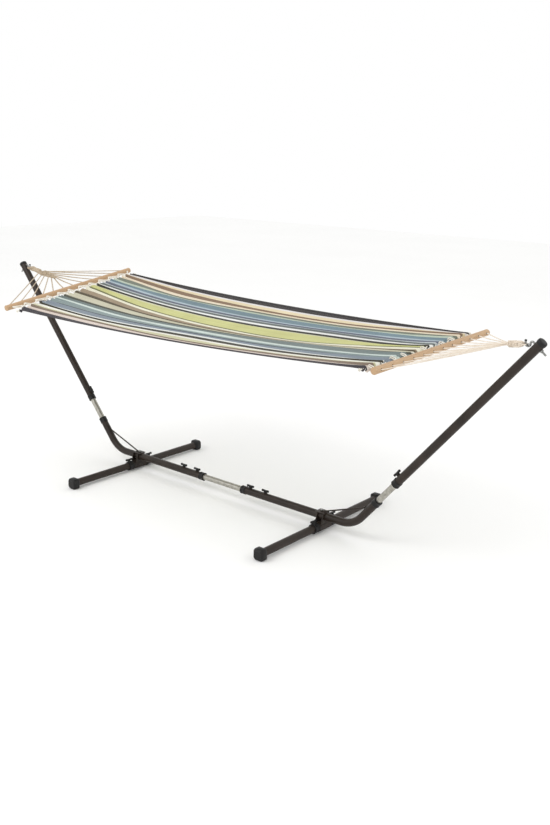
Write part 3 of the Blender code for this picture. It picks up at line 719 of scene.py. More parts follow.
def cutSquare(size, cut, way, y):
    # one ring of a square with rounded cut corners
    ring = []
    for qx, qz in ((1, 1), (-1, 1), (-1, -1), (1, -1)):
        first, second = (qx * size, qz * (size - cut)), (qx * (size - cut), qz * size)
        if qx * qz < 0:
            first, second = second, first
        for t in (0.0, 0.12, 0.5, 0.88, 1.0):
            bulge = footValues["capBulge"] * math.sin(math.pi * t)
            px = first[0] + (second[0] - first[0]) * t + qx * bulge
            pz = first[1] + (second[1] - first[1]) * t + qz * bulge
            ring.append((footX + px, way * y, footZ + pz))
    return ring


def footCapShape(way):
    # a chunky moulded block with cut corners, softened edges and a shallow panel in its end
    half = footValues["capSize"] / 2
    back = footValues["length"] / 2 - footValues["capLength"]
    inside, cut = tubeRadius + touch, footValues["capCut"]
    angles = [math.atan2(p[2] - footZ, p[0] - footX) for p in cutSquare(half, cut, way, 0)]
    verts = []
    for y in (0.006, 0.0):
        verts += [(footX + math.cos(a) * inside, way * (back + y), footZ + math.sin(a) * inside) for a in angles]
    # how far each ring is in from the outside, how much its cut is less, and how far it is from the cap's back
    steps = [(0.0105, 0.002, 0.0), (0.0090, 0.001, 0.0007), (0.0035, 0, 0.0062), (0.0010, 0, 0.0090), (0, 0, 0.0115),
             (0, 0, 0.0330), (0.0008, 0, 0.0360), (0.0040, 0, 0.0405), (0.0055, 0, 0.0420), (0.0095, 0.001, 0.0420),
             (0.0105, 0.001, 0.0408), (half - 0.0001, cut - 0.00003, 0.0408)]
    for less, lessCut, y in steps:
        verts += cutSquare(half - less, cut - lessCut, way, back + y)
    return shapeOf(verts, grid(len(steps) + 2, len(angles)))


def footSide(end, label, way):
    ending, body = end + "_" + label, end + "_stand"
    stop = footValues["length"] / 2 - footValues["capWall"]
    straightTube("foot_tube_" + ending, (footX, way * footValues["tubeStart"], footZ), (footX, way * stop, footZ),
                 tubeRadius, "stand", body, end)
    nodePiece("foot_cap_" + ending, [footCapShape(way)], ["plastic"], body, end, sharp=30.0)
    radius, wall = footValues["sleeveRadius"], collarValues["footWall"]
    face = (footX, way * (footValues["sleeveHalf"] + collarValues["lip"]), footZ)
    collar = collarShape(face, (0, way, 0), radius, tubeRadius, collarValues["footLength"], wall)
    knobPoint = Vector((footX, way * footValues["knobY"], footZ + radius + touch + wall))
    r, h, bore = beamValues["bossRadius"], beamValues["bossHeight"], beamValues["bossBore"]
    boss = [(bore, -0.0015), (r + 0.0013, -0.0015), (r + 0.0005, 0.0002), (r, 0.0012), (r, h - 0.0005),
            (r - 0.0005, h), (bore, h), (bore, -0.0015)]
    shapes = [collar, lathe(boss, frameOn(knobPoint, (0, 0, 1)), 32)]
    nodePiece("foot_collar_" + ending, shapes, ["plastic"], body, end)
    return knobPoint


# wing knobs

knobValues = {
    "above": 0.0033,
    "hubRadius": 0.0090,
    "hubHeight": 0.011,
    "wingLength": 0.042,
    "wingHeight": 0.011,
    "wingWidth": 0.009,
    "studRadius": 0.003,
    "ribs": 3,
    "ribSize": (0.0011, 0.0010, 0.62),
    "ribPlaces": (0.62, 0.12),
}


def wingKnob(nodeName, surface, outward, wingWay, end, body, studEnd):
    place = frameOn(surface, outward, wingWay)
    base, r, h = knobValues["above"], knobValues["hubRadius"], knobValues["hubHeight"]
    hub = lathe([(0, base), (r * 0.86, base), (r, base + 0.0006), (r, base + 0.0022), (r * 0.90, base + 0.0030),
                 (r * 0.80, base + 0.0050), (r * 0.76, base + h - 0.0008), (r * 0.66, base + h), (0, base + h)],
                place, 32)
    reach, high = knobValues["wingLength"] / 2, knobValues["wingHeight"] / 2
    wide = knobValues["wingWidth"] / 2
    middle = base + h - knobValues["wingHeight"] / 4
    # shares of the reach, the width and the height, from the tip to the middle
    spans = [(-1.0, 0.30, 0.45), (-0.985, 0.55, 0.66), (-0.93, 0.86, 0.90), (-0.84, 0.98, 1.0),
             (-0.70, 0.98, 1.0), (-0.50, 0.86, 0.93), (-0.30, 0.80, 0.84), (0.0, 0.92, 0.80)]
    spans += [(-s, a, b) for s, a, b in reversed(spans[:-1])]
    wing = loft([(s * reach, a * wide, b * high, middle + 0.0002) for s, a, b in spans], place)
    stud = sweep([place @ Vector((0, 0, -studEnd)), place @ Vector((0, 0, base + 0.002))],
                 knobValues["studRadius"], 16)
    shapes = [hub, wing, painted(stud, 1)]
    ribLong, ribWide, ribShare = knobValues["ribSize"]
    ribFirst, ribStep = knobValues["ribPlaces"]
    for side in (-1, 1):
        for k in range(knobValues["ribs"]):
            px = side * reach * (ribFirst + ribStep * k)
            for face in (-1, 1):
                rib = place @ Matrix.Translation((px, face * wide * 0.95, middle))
                shapes.append(roundedBox((ribLong, ribWide, knobValues["wingHeight"] * ribShare), rib, 0.0004, 2))
    nodePiece(nodeName, shapes, ["plastic", "zinc"], body, end)


braceValues = {
    "boltX": 0.597,
    "boltRadius": 0.004,
    "flatHalf": 0.0065,
    "tabThick": 0.0025,
    "tabRadius": 0.007,
    "rodRadius": 0.0035,
    "rodLow": 0.0186,
    "rodHigh": 0.107,
    "rodWelded": 0.015,
    "rodWeldLong": 0.016,
    "tabWeld": (0.0130, 0.0215),
    "weld": 0.0013,
}
flatCorner = braceValues["flatHalf"] / math.cos(math.pi / 6)


def sixSided(r, angles):
    # round where it is small, flats elsewhere
    flats = braceValues["flatHalf"] / np.cos((angles + math.pi / 6) % (math.pi / 3) - math.pi / 6)
    return np.minimum(flats, r)


def boltAndBrace(end):
    x, rod = braceValues["boltX"], braceValues["rodRadius"]
    tabLow = footValues["strapTop"] + touch
    headLow = tabLow + braceValues["tabThick"] + touch
    head = lathe([(0, 0), (0.0070, 0), (0.0072, 0.0004), (flatCorner, 0.0008), (flatCorner, 0.0044),
                  (0.0066, 0.0053), (0.0045, 0.0053), (0.0042, 0.0050), (0, 0.0050)],
                 frameOn((x, 0, headLow), (0, 0, 1)), 72, sixSided)
    shank = sweep([(x, 0, beamZ + 0.006), (x, 0, headLow + 0.002)], braceValues["boltRadius"], 20)
    nodePiece("saddle_bolt_" + end, [head, shank], ["zinc"], end + "_stand", end, sharp=25.0)

    rodLow = Vector((x + braceValues["rodLow"], 0, tabLow + rod))
    rodHigh = upUpright(braceValues["rodHigh"]) + inward * (tubeRadius + touch + rod)
    rodEnd = rodHigh + upright * braceValues["rodWelded"]
    way = (rodHigh - rodLow).normalized()
    bent = [rodLow - Vector((0.004, 0, 0)), rodLow - Vector((0.001, 0, 0)), rodLow + way * 0.004,
            rodLow.lerp(rodHigh, 0.35), rodLow.lerp(rodHigh, 0.7), rodHigh - way * 0.006,
            rodHigh + upright * 0.003, rodEnd]
    tabRadius, thick = braceValues["tabRadius"], braceValues["tabThick"]
    strip = [(x + math.cos(a) * tabRadius, math.sin(a) * tabRadius)
             for a in (math.pi / 2 + math.pi * i / 12 for i in range(13))]
    strip += [(x + 0.0200, -0.007), (x + 0.0230, -0.0045), (x + 0.0230, 0.0045), (x + 0.0200, 0.007)]
    tab = plate(strip, thick, Matrix.Translation((0, 0, tabLow + thick / 2)), 0.0006)
    shapes = [sweep(flowing(bent, 0.0015), rod, 20), tab]
    for side in (-1, 1):
        top = rodEnd + Vector((0, side * 0.0030, 0)) - inward * 0.0026
        shapes.append(bead(top - upright * braceValues["rodWeldLong"], top, braceValues["weld"], 41))
        start, stop = ((x + reach, side * 0.0034, tabLow + 0.0030) for reach in braceValues["tabWeld"])
        shapes.append(bead(start, stop, braceValues["weld"], 43))
    nodePiece("brace_rod_" + end, shapes, ["stand"], end + "_stand", end)


for end in ends:
    footBracket(end)
    boltAndBrace(end)
    for label, way in (("near", -1), ("far", 1)):
        knobPoint = footSide(end, label, way * ends[end])
        wingKnob("foot_knob_" + end + "_" + label, knobPoint, (0, 0, 1), (0, 1, 0), end,
                 end + "_foot_knob_" + label, 0.004)
    for label, x in beamValues["knobPlaces"].items():
        wingKnob("beam_knob_" + end + "_" + label, (x, 0, beamZ + tubeRadius), (0, 0, 1), (1, 0, 0), end,
                 end + "_beam_knob_" + label, 0.003)
    wingKnob("upper_knob_" + end, upperKnobPoint, inward, upright, end, end + "_upper_knob", 0.003)
print("feet, braces and knobs made")


# hooks

hookValues = {
    "bolt": 0.0040,
    "below": 0.0265,
    "exit": 0.0050,
    "turn": 0.0070,
    "neck": 0.0020,
    "bowl": 0.0095,
    "tip": 0.014,
    "tail": 0.025,
    "thread": 0.00125,
    "threadDeep": 0.00050,
    "threadLong": 0.034,
    "nutBore": 0.0043,
    "nutHigh": 0.0065,
}
hookAt = upUpright(stand["upperEnd"] - hookValues["below"])


def hookLine():
    turn, bowl = hookValues["turn"], hookValues["bowl"]
    exitPoint = hookAt + inward * (tubeRadius + hookValues["exit"])
    angle = math.atan2(inward.z, inward.x)
    centre = exitPoint + Vector((-math.sin(angle), 0, math.cos(angle))) * turn
    points = list(evenly([hookAt - inward * (tubeRadius + hookValues["tail"]), exitPoint], hookValues["thread"] / 4))
    points += pathArc(centre, turn, angle - math.pi / 2, math.pi, 14)
    points.append(centre + Vector((-turn, 0, -hookValues["neck"])))
    bowlCentre = points[-1] + Vector((-bowl, 0, 0))
    points += pathArc(bowlCentre, bowl, 0, -math.pi, 28)
    tip = Vector(points[-1])
    points += list(evenly([tip, tip + Vector((0, 0, hookValues["tip"]))], 0.001))[1:]
    return points, bowlCentre, tip


hookPoints, bowlCentre, hookTip = hookLine()


def hookPiece(end):
    r, body = hookValues["bolt"], end + "_upper"
    total = distances(np.array([tuple(p) for p in hookPoints]))[-1]

    def rule(run, angle):
        # a cut thread on the tail, plain wire after it, round at both ends
        phase = (run / hookValues["thread"] + angle / (2 * math.pi)) % 1.0
        cut = hookValues["threadDeep"] * np.abs(2 * phase - 1)
        start = np.clip(run / 0.0010, 0, 1)
        stop = np.clip((total - run) / 0.0030, 0, 1)
        soft = np.minimum(0.75 + 0.25 * start, np.sqrt(np.clip(1 - (1 - stop) ** 2, 0.04, 1)))
        return (r - 0.00002 - np.where(run < hookValues["threadLong"], cut, 0.0)) * soft

    # the dark sleeve over the tip
    sleeve = [(r, 0), (r + 0.0007, 0.0003), (r + 0.0008, 0.0034), (r + 0.0004, 0.0046), (r - 0.0010, 0.0055),
              (0, 0.0058)]
    place = Matrix.Translation((hookTip.x, 0, hookTip.z + hookValues["tip"] - 0.0056))
    shapes = [sweep(hookPoints, rule, 28), painted(lathe(sleeve, place, 28), 1)]
    nodePiece("hook_" + end, shapes, ["zinc", "tip"], body, end, sharp=50.0)

    bore, high = hookValues["nutBore"], hookValues["nutHigh"]
    nut = lathe([(bore, 0), (0.0066, 0), (flatCorner, 0.0009), (flatCorner, high - 0.0009), (0.0066, high),
                 (0.0050, high), (bore, high - 0.0007), (bore, 0)],
                frameOn(hookAt - inward * (tubeRadius + touch), -inward), 72, sixSided)
    nodePiece("hook_nut_" + end, [nut], ["zinc"], body, end, sharp=25.0)


for end in ends:
    hookPiece(end)
print("hooks made")


# Hammock. Each bar hangs a little rolled and skewed, as the cords have settled.

hammock = {
    "barDistance": 2.221,
    "barHeight": 0.890,
    "barLength": 0.860,
    "barRadius": 0.014,
    "roll": {"left": math.radians(7.6), "right": math.radians(1.2)},
    "skew": {"left": math.radians(3.3), "right": math.radians(0.9)},
    "holes": 12,
    "holeInset": 0.030,
    "holeTilt": math.radians(10.0),
    "holeRadius": 0.0040,
    "wrap": {"left": 0.070, "right": 0.041},
    "weave": {"left": 0.146, "right": 0.034},
    "fall": {"left": math.radians(9.0), "right": math.radians(7.0)},
    "neckRadius": 0.0135,
    "ringRadius": 0.016,
    "ringWire": 0.0025,
    "bedLength": 2.087,
    "bedHeight": 0.883,
    "bedWidth": 0.800,
}
holePitch = (hammock["barLength"] - 2 * hammock["holeInset"]) / (hammock["holes"] - 1)
holeOffsets = [hammock["holeInset"] - hammock["barLength"] / 2 + holePitch * i for i in range(hammock["holes"])]
# where each ring rests on its hook, and how far from there its neck's whipping starts
ringRest = bowlCentre + Vector((0, 0, hookValues["bolt"] - hookValues["bowl"] + hammock["ringWire"] + touch))
whippingStart = 2 * hammock["ringRadius"] + hammock["ringWire"] + touch


def barTurn(end):
    sign, roll, skew = ends[end], hammock["roll"][end], hammock["skew"][end]
    along = Vector((-math.sin(skew), math.cos(roll) * math.cos(skew), math.sin(roll))).normalized()
    out = Vector((sign, 0, 0))
    out = (out - along * out.dot(along)).normalized()
    up = out.cross(along) if sign > 0 else along.cross(out)
    return out, along, up


def onBar(end, offset):
    middle = Vector((ends[end] * hammock["barDistance"] / 2, 0, hammock["barHeight"]))
    return middle + barTurn(end)[1] * offset


barValues = {
    "wobble": (0.00012, 0.00010),
    "rings": 60,
    "seed": {"left": 5, "right": 8},
    "countersink": 0.016,
    "drillReach": 0.03,
}


def spreaderBar(end):
    # turned round, sawn ends with a softened edge, twelve drilled holes
    half, r, tilt = hammock["barLength"] / 2, hammock["barRadius"], hammock["holeTilt"]
    profile = [(0, -half), (r - 0.0016, -half), (r - 0.0006, -half + 0.0004), (r, -half + 0.0016)]
    rng = np.random.default_rng(barValues["seed"][end])
    less, uneven = barValues["wobble"]
    for t in np.linspace(-0.98, 0.98, barValues["rings"]):
        profile.append((r - less - uneven * rng.random(), t * half))
    profile += [(r, half - 0.0016), (r - 0.0006, half - 0.0004), (r - 0.0016, half), (0, half)]
    turned = lathe(profile, frameOn((0, 0, 0), (0, 1, 0), (0, 0, 1)), 48)
    bar = makePiece("spreaderBar" + end.capitalize(), [turned], ["wood", "holeWood"])
    hole, far = hammock["holeRadius"], barValues["drillReach"]
    side = [(0, far), (hole + barValues["countersink"], far), (hole + 0.0012, r + 0.0002),
            (hole + 0.0002, r - 0.0012), (hole, r - 0.002)]
    cut = [(x, -y) for x, y in side] + side[::-1]
    way = Vector((math.cos(tilt), 0, math.sin(tilt)))
    # the hole walls take the darker wood, painted shade
    drills = [painted(lathe(cut, frameOn((0, offset, 0), way), 24), 1) for offset in holeOffsets]
    drill = makePiece("drills" + end.capitalize(), drills, ["wood", "holeWood"])
    step = bar.modifiers.new("holes", "BOOLEAN")
    step.operation = "DIFFERENCE"
    step.solver = "EXACT"
    step.object = drill
    bpy.context.view_layer.update()
    drilled = bpy.data.meshes.new_from_object(bar.evaluated_get(bpy.context.evaluated_depsgraph_get()))
    bar.modifiers.clear()
    bar.data = drilled
    bar.data.set_sharp_from_angle(angle=math.radians(35))
    bpy.data.objects.remove(drill, do_unlink=True)
    place = Matrix(barTurn(end)).transposed().to_4x4()
    place.translation = onBar(end, 0)
    bar.matrix_world = place
    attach(bar, "bed")
    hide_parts("spreader_bar_" + end)


# Neck: ring, its windings, loops, whipping, woven start and the fan of cords

neckValues = {
    "bareAngle": math.radians(36.0),
    "woundAngle": math.radians(88.0),
    "servePitch": 0.0012,
    "windWidth": 0.0040,
    "windTurns": 11,
    "loopWidth": 0.0046,
    "loopHigh": 0.0096,
    "loopSides": ((-0.0098, -0.0050, 0.0, 0.0050, 0.0098), (-0.0075, -0.0026, 0.0026, 0.0075)),
    "wrapWidth": 0.0052,
    "bareCords": 11,
    "bareWidth": 0.0056,
    "pairWidth": 0.0038,
    "pairGap": 0.0021,
    "pairPitch": 0.0125,
    "weftWidth": 0.0043,
    "weftPitch": 0.0072,
    "weaveHalf": {"left": 0.0205, "right": 0.0160},
    "weaveTurn": {"left": math.radians(34.0), "right": math.radians(8.0)},
    "weaveTurnsIn": 0.030,
    "weaveOpensFrom": 0.45,
    "weaveOpensIn": 0.020,
    "weaveStart": 0.004,
    "middleSide": 0.0016,
    "pairLift": 0.0016,
    "weftEdge": 0.0034,
    "clear": 0.0035,
    "sag": 0.0035,
    # the right end takes the lighter copy of the cotton, painted light
    "finish": {"left": "cord", "right": "paleCord"},
}


def neckAxes(end):
    sign, fall = ends[end], hammock["fall"][end]
    way = Vector((-sign * math.cos(fall), 0, -math.sin(fall)))
    normal = Vector((-sign * math.sin(fall), 0, math.cos(fall)))
    return Vector((sign * ringRest.x, 0, ringRest.z)), way, normal


def onNeck(end, distance, side=0.0, high=0.0):
    start, way, normal = neckAxes(end)
    return start + way * distance + Vector((0, side, 0)) + normal * high


def hangRing(end):
    # a steel ring, bare where it hangs in the hook, served with fine cord, and wound thickly on its far half
    way, normal = neckAxes(end)[1:]
    eye, r, wide = hammock["ringRadius"], hammock["ringWire"], neckValues["windWidth"]

    def onRing(a):
        radial = -way * math.cos(a) + Vector((0, 1, 0)) * math.sin(a)
        return onNeck(end, eye) + radial * eye, radial

    def served(run, angle):
        return r - 0.00015 + 0.00025 * np.abs(np.sin(run * math.pi / neckValues["servePitch"] + angle / 2))

    bare, wound, turns = neckValues["bareAngle"], neckValues["woundAngle"], neckValues["windTurns"]
    steel = sweep([onRing(a)[0] for a in np.linspace(-bare - 0.03, bare + 0.03, 22)], r, 18)
    thread = sweep([onRing(a)[0] for a in np.linspace(bare, 2 * math.pi - bare, 300)], served, 18)
    winding = []
    for share in np.linspace(0, 1, turns * 12 + 1):
        middle, radial = onRing(wound + (2 * math.pi - 2 * wound) * share)
        spin = 2 * math.pi * turns * share
        winding.append(middle + (radial * math.cos(spin) + normal * math.sin(spin)) * (r + wide * 0.42))
    shapes = [steel, painted(thread, 1), painted(sweep(winding, wide / 2, 8), 1)]
    nodePiece("hang_ring_" + end, shapes, ["zinc", neckValues["finish"][end]], end + "_clew")


def neckWrap(end):
    # loops through the ring, drawn together and whipped
    first, length, r = whippingStart, hammock["wrap"][end], hammock["neckRadius"]
    width, far = neckValues["wrapWidth"], 2 * hammock["ringRadius"]
    shapes = []
    for layer, sides in enumerate(neckValues["loopSides"]):
        high = neckValues["loopHigh"] - 0.0032 * (1 - layer)
        reach = far - 0.0064 - 0.0044 * layer
        for side in sides:
            inner = reach - abs(side) * 0.20
            half = [(first + 0.016, side * 0.80, high * 0.92), (first + 0.006, side, high), (far - 0.0010, side, high),
                    (inner + 0.0022, side, high * 0.72), (inner, side, 0.0)]
            loop = half + [(d, across, -up) for d, across, up in reversed(half[:-1])]
            shapes.append(rope([onNeck(end, *at) for at in loop], neckValues["loopWidth"], 0.0013))
    core = r - width * 0.75
    inside = [(0, 0.003), (core * 0.8, 0.003), (core, 0.007), (core, length - 0.006), (core * 0.8, length + 0.002),
              (0, length + 0.002)]
    shapes.append(lathe(inside, frameOn(onNeck(end, first), neckAxes(end)[1]), 24))
    begin = 0.007 if end == "right" else length * 0.56
    turns = int((length - 0.004 - begin) / (width * 0.98))
    coil = []
    for i in range(turns * 24 + 1):
        a = 2 * math.pi * i / 24
        d = begin + 0.0026 + (length - 0.006 - begin) * i / (turns * 24)
        fat = (r - width / 2) * (1 + 0.02 * math.sin(d * 900))
        coil.append(onNeck(end, first + d, math.sin(a) * fat, math.cos(a) * fat))
    shapes.append(rope(coil, width, 0.0016))
    # the left whipping starts late, so the gathered cords show before it
    for k in range(neckValues["bareCords"] if end == "left" else 0):
        a = 2 * math.pi * k / neckValues["bareCords"] + 0.2
        across, up = math.sin(a) * (r - 0.0034), math.cos(a) * (r - 0.0034)
        run = [onNeck(end, first + d, across * wide, up * high) for d, wide, high in
               ((0.004, 0.92, 0.62), (0.016, 1.0, 0.9), (begin, 0.95, 0.95), (begin + 0.008, 0.8, 0.8))]
        shapes.append(rope(run, neckValues["bareWidth"], 0.002))
    nodePiece("neck_wrap_" + end, shapes, [neckValues["finish"][end]], end + "_clew", sharp=80)


def weavePlan(end):
    # for each cord: its hole, its share of the way out from the middle, and where it leaves the weave
    first = whippingStart + hammock["wrap"][end] + touch
    length, half = hammock["weave"][end], neckValues["weaveHalf"][end]
    start, middle = neckValues["weaveStart"], neckValues["middleSide"]
    plan = []
    for offset in holeOffsets:
        share = abs(offset / holeOffsets[-1])
        leave = first + start + (length - 2 * start) * (1 - share)
        side = math.copysign(middle + (half - middle) * share, offset)
        plan.append({"offset": offset, "share": share, "leave": leave, "side": side})
    return first, length, plan


def opening(distance):
    # the weave spreads out from the whipping
    return min(1.0, neckValues["weaveOpensFrom"] + distance / neckValues["weaveOpensIn"])


def onWeave(end, first, distance, side, high=0.0):
    # the woven start turns about the neck, far side up
    turn = neckValues["weaveTurn"][end] * min(1.0, max(0.0, (distance - first) / neckValues["weaveTurnsIn"]))
    return onNeck(end, distance, side * math.cos(turn) - high * math.sin(turn),
                  side * math.sin(turn) + high * math.cos(turn))


def weftRows(end, first, length, plan):
    # crossing cords of the weave, one row over the pairs and back under them
    pitch, shapes = neckValues["weftPitch"], []
    for k in range(int(math.ceil((length - 0.006) / pitch))):
        d = first + neckValues["weaveStart"] + k * pitch
        sides = sorted(c["side"] * opening(d - first) for c in plan if c["leave"] > d - 0.002)
        if len(sides) < 2:
            continue
        edge = abs(sides[-1]) + neckValues["weftEdge"]
        over = 1 if k % 2 else -1
        for at, turn, lift in ((d, d + 0.0012, 0.0033), (d + pitch / 2, d + pitch / 2 - 0.001, -0.0031)):
            row = [onWeave(end, first, at, s, lift * over * (1 if n % 2 else -1)) for n, s in enumerate(sides)]
            row = [onWeave(end, first, turn, -edge)] + row + [onWeave(end, first, turn, edge)]
            shapes.append(rope(row, neckValues["weftWidth"], 0.0014, 9))
    return shapes


def clewCords(end):
    first, length, plan = weavePlan(end)
    out, along, up = barTurn(end)
    way = out * math.cos(hammock["holeTilt"]) + up * math.sin(hammock["holeTilt"])
    r, pitch, lift = hammock["barRadius"], neckValues["weftPitch"], neckValues["pairLift"]
    laid = ropeRadius(neckValues["pairWidth"] / 2, neckValues["pairPitch"], 0.22)
    shapes = []
    for i, cord in enumerate(plan):
        guide = []
        for k in range(int((cord["leave"] - first) / pitch) + 1):
            d = 0.002 + k * pitch
            guide.append((first + d, cord["side"] * opening(d), lift if (i + k) % 2 else -lift))
        middle = onBar(end, cord["offset"])
        for pair in (-1, 1):
            gap = neckValues["pairGap"] * pair
            points = [onNeck(end, first - 0.006, cord["side"] * 0.40, 0.002 * pair)]
            points += [onWeave(end, first, d, side + gap * 0.9, high) for d, side, high in guide]
            leave, goal = points[-1], middle + way * (r + neckValues["clear"]) + along * gap * 0.85
            sag = neckValues["sag"] * (1 - cord["share"] * 0.5)
            for t in (0.06, 0.25, 0.5, 0.75, 0.94):
                points.append(leave.lerp(goal, t) - Vector((0, 0, sag * math.sin(math.pi * t))))
            points += [goal, middle + along * gap * 0.75 - way * 0.004,
                       middle + along * gap * 0.7 - way * (r + 0.001)]
            shapes.append(sweep(flowing(points, 0.0030), laid, 9))
    shapes += weftRows(end, first, length, plan)
    piece = nodePiece("clew_cords_" + end, shapes, [neckValues["finish"][end]], None, sharp=80, merge=False)
    # the cords' placement is baked into their points
    if end == "left":
        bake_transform(piece)
    else:
        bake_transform(piece)


for end in ends:
    spreaderBar(end)
    hangRing(end)
    neckWrap(end)
    clewCords(end)
print("bars, rings and cords made")


# Cloth. Stripes from the far edge to the near edge: tint, then where each starts at five places
# along the cloth. Where a stripe shows less than its cut width, the cloth has gathered.

cloth = {
    "places": (0.03, 0.25, 0.50, 0.75, 0.97),
    "thread": 0.0018,
    "threadStray": 0.0018,
    "thick": 0.0016,
    "rowsAlong": 150,
    "rowsTowardsEnds": 0.45,
    "column": 0.0032,
    "pleats": 34,
    "pleatSharp": 1.25,
    "pleatAtEdge": 0.35,
    "pleatHigh": 0.0052,
    "pleatFade": 0.085,
    "longPleatHigh": 0.0020,
    "longPleatFade": 0.42,
    "foldHigh": 0.0034,
    "foldShare": 0.8,
    "cutWidth": 0.920,
    "edgeRise": 0.0065,
    "edgeDrop": 0.0115,
    "scallop": 0.010,
    "scallopFade": 0.035,
    "hemRoll": 0.0052,
    "hemSteps": 10,
    "hemTurn": math.radians(33.0),
    "turnedEnds": 0.06,
    "sideHem": 0.013,
    "sideHemThick": 0.0034,
    "edgeSag": 0.022,
    "middleSag": 0.028,
    "waist": 0.037,
}
stripes = [
    ((48, 46, 51), (75, 40, 42, 38, 58)),
    ((227, 224, 224), (110, 110, 124, 124, 98)),
    ((228, 214, 180), (145, 128, 145, 148, 140)),
    ((133, 110, 90), (152, 165, 198, 208, 160)),
    ((232, 219, 196), (206, 232, 236, 237, 205)),
    ((118, 125, 114), (228, 282, 265, 268, 250)),
    ((187, 200, 184), (282, 292, 286, 300, 275)),
    ((113, 136, 147), (335, 304, 316, 315, 318)),
    ((172, 188, 198), (362, 378, 396, 400, 415)),
    ((99, 106, 122), (393, 408, 424, 430, 450)),
    ((191, 199, 202), (427, 436, 455, 446, 500)),
    ((99, 108, 108), (452, 460, 476, 462, 538)),
    ((236, 237, 236), (480, 492, 513, 508, 580)),
    ((45, 47, 42), (508, 520, 553, 553, 622)),
    ((209, 209, 181), (532, 552, 594, 602, 665)),
    ((202, 203, 140), (550, 580, 606, 628, 676)),
    ((113, 116, 80), (600, 685, 772, 806, 690)),
    ((232, 230, 210), (625, 708, 800, 846, 700)),
    ((156, 140, 119), (658, 745, 836, 857, 765)),
    ((85, 77, 61), (722, 798, 862, 863, 788)),
    ((199, 196, 174), (775, 824, 884, 869, 800)),
    ((76, 79, 72), (870, 893, 906, 875, 852)),
    ((116, 129, 129), (905, 928, 932, 884, 864)),
    ((205, 218, 213), (950, 988, 982, 1004, 990)),
    ((135, 151, 152), (978, 1024, 1034, 1048, 1022)),
    ((78, 84, 95), (1045, 1082, 1080, 1098, 1042)),
    ((130, 142, 154), (1075, 1092, 1092, 1108, 1082)),
    ((231, 234, 232), (1134, 1158, 1122, 1168, 1148)),
    ((52, 52, 43), (1152, 1185, 1170, 1206, 1180)),
    ((235, 234, 224), (1178, 1222, 1232, 1262, 1218)),
    ((206, 205, 170), (1205, 1250, 1272, 1300, 1250)),
    ((131, 116, 103), (1232, 1260, 1346, 1318, 1262)),
    ((220, 207, 198), (1262, 1290, 1368, 1355, 1320)),
    ((60, 58, 67), (1300, 1348, 1396, 1392, 1352)),
]
nearEdge = (1370, 1388, 1425, 1420, 1385)
starts = np.array([row[1] for row in stripes] + [nearEdge], float)
starts = 1 - 2 * (starts - starts[0]) / (starts[-1] - starts[0])    # 1 at the far edge, -1 at the near edge
shown = -np.diff(starts, axis=0)
cutWidths = np.max(shown, axis=1) + np.mean(shown, axis=1)
cutWidths *= cloth["cutWidth"] / cutWidths.sum()
cutMarks = np.concatenate([[0.0], np.cumsum(cutWidths)])
cutWidth = float(cutMarks[-1])
print("cloth cut width", round(cutWidth, 3))


def stripeStarts(u):
    # where every stripe starts at a place along the cloth, smoothly between the five places
    places = np.array(cloth["places"])
    u = min(max(u, places[0]), places[-1])
    k = min(int(np.searchsorted(places, u, side="right")) - 1, len(places) - 2)
    t = (u - places[k]) / (places[k + 1] - places[k])
    a, b = starts[:, k], starts[:, k + 1]
    before = starts[:, k - 1] if k > 0 else a
    after = starts[:, k + 2] if k + 2 < len(places) else b
    slopeA, slopeB = (b - before) / 2, (after - a) / 2
    found = ((2 * t ** 3 - 3 * t ** 2 + 1) * a + (t ** 3 - 2 * t ** 2 + t) * slopeA
             + (-2 * t ** 3 + 3 * t ** 2) * b + (t ** 3 - t ** 2) * slopeB)
    return np.minimum.accumulate(found)


def bedPoint(u, across):
    # arrays: u from the left end to the right end, across from -1 near to 1 far
    left, right = (np.array((sign * hammock["bedLength"] / 2, 0, hammock["bedHeight"])) for sign in ends.values())
    alongLeft, alongRight = (np.array(barTurn(end)[1]) for end in ends)
    reach = (across * hammock["bedWidth"] / 2)[:, None]
    points = (left + alongLeft * reach) * (1 - u) + (right + alongRight * reach) * u
    belly = 4 * u * (1 - u)
    points[:, 1] -= across * cloth["waist"] * belly
    points[:, 2] -= cloth["edgeSag"] * belly + cloth["middleSag"] * belly * (1 - across ** 2)
    return points


# columns of the cloth, finer than the pleats, with one on every stripe's start
columns, inStripe, shareIn = [], [], []
for k, width in enumerate(cutWidths):
    count = max(2, int(math.ceil(width / cloth["column"])))
    for n in range(count):
        columns.append(cutMarks[k] + width * n / count)
        inStripe.append(k)
        shareIn.append(n / count)
columns, inStripe, shareIn = columns + [cutWidth], inStripe + [len(cutWidths) - 1], shareIn + [1.0]
columns, inStripe, shareIn = np.array(columns), np.array(inStripe), np.array(shareIn)
flatShare = columns / cutWidth
pleatRng = np.random.default_rng(12)
pleatShift = np.interp(flatShare, np.linspace(0, 1, 18), pleatRng.uniform(-0.9, 0.9, 18))
pleatSize = np.interp(flatShare, np.linspace(0, 1, 40), pleatRng.uniform(0.55, 1.25, 40))
# every other stripe folds down, and so do most of those beside the green one
foldWay = np.where(np.arange(len(stripes)) % 2 == 0, -1.0, 1.0)
foldWay[[16, 18, 19, 20, 21]] = -1.0


def acrossAt(marks):
    return marks[inStripe] + (marks[inStripe + 1] - marks[inStripe]) * shareIn


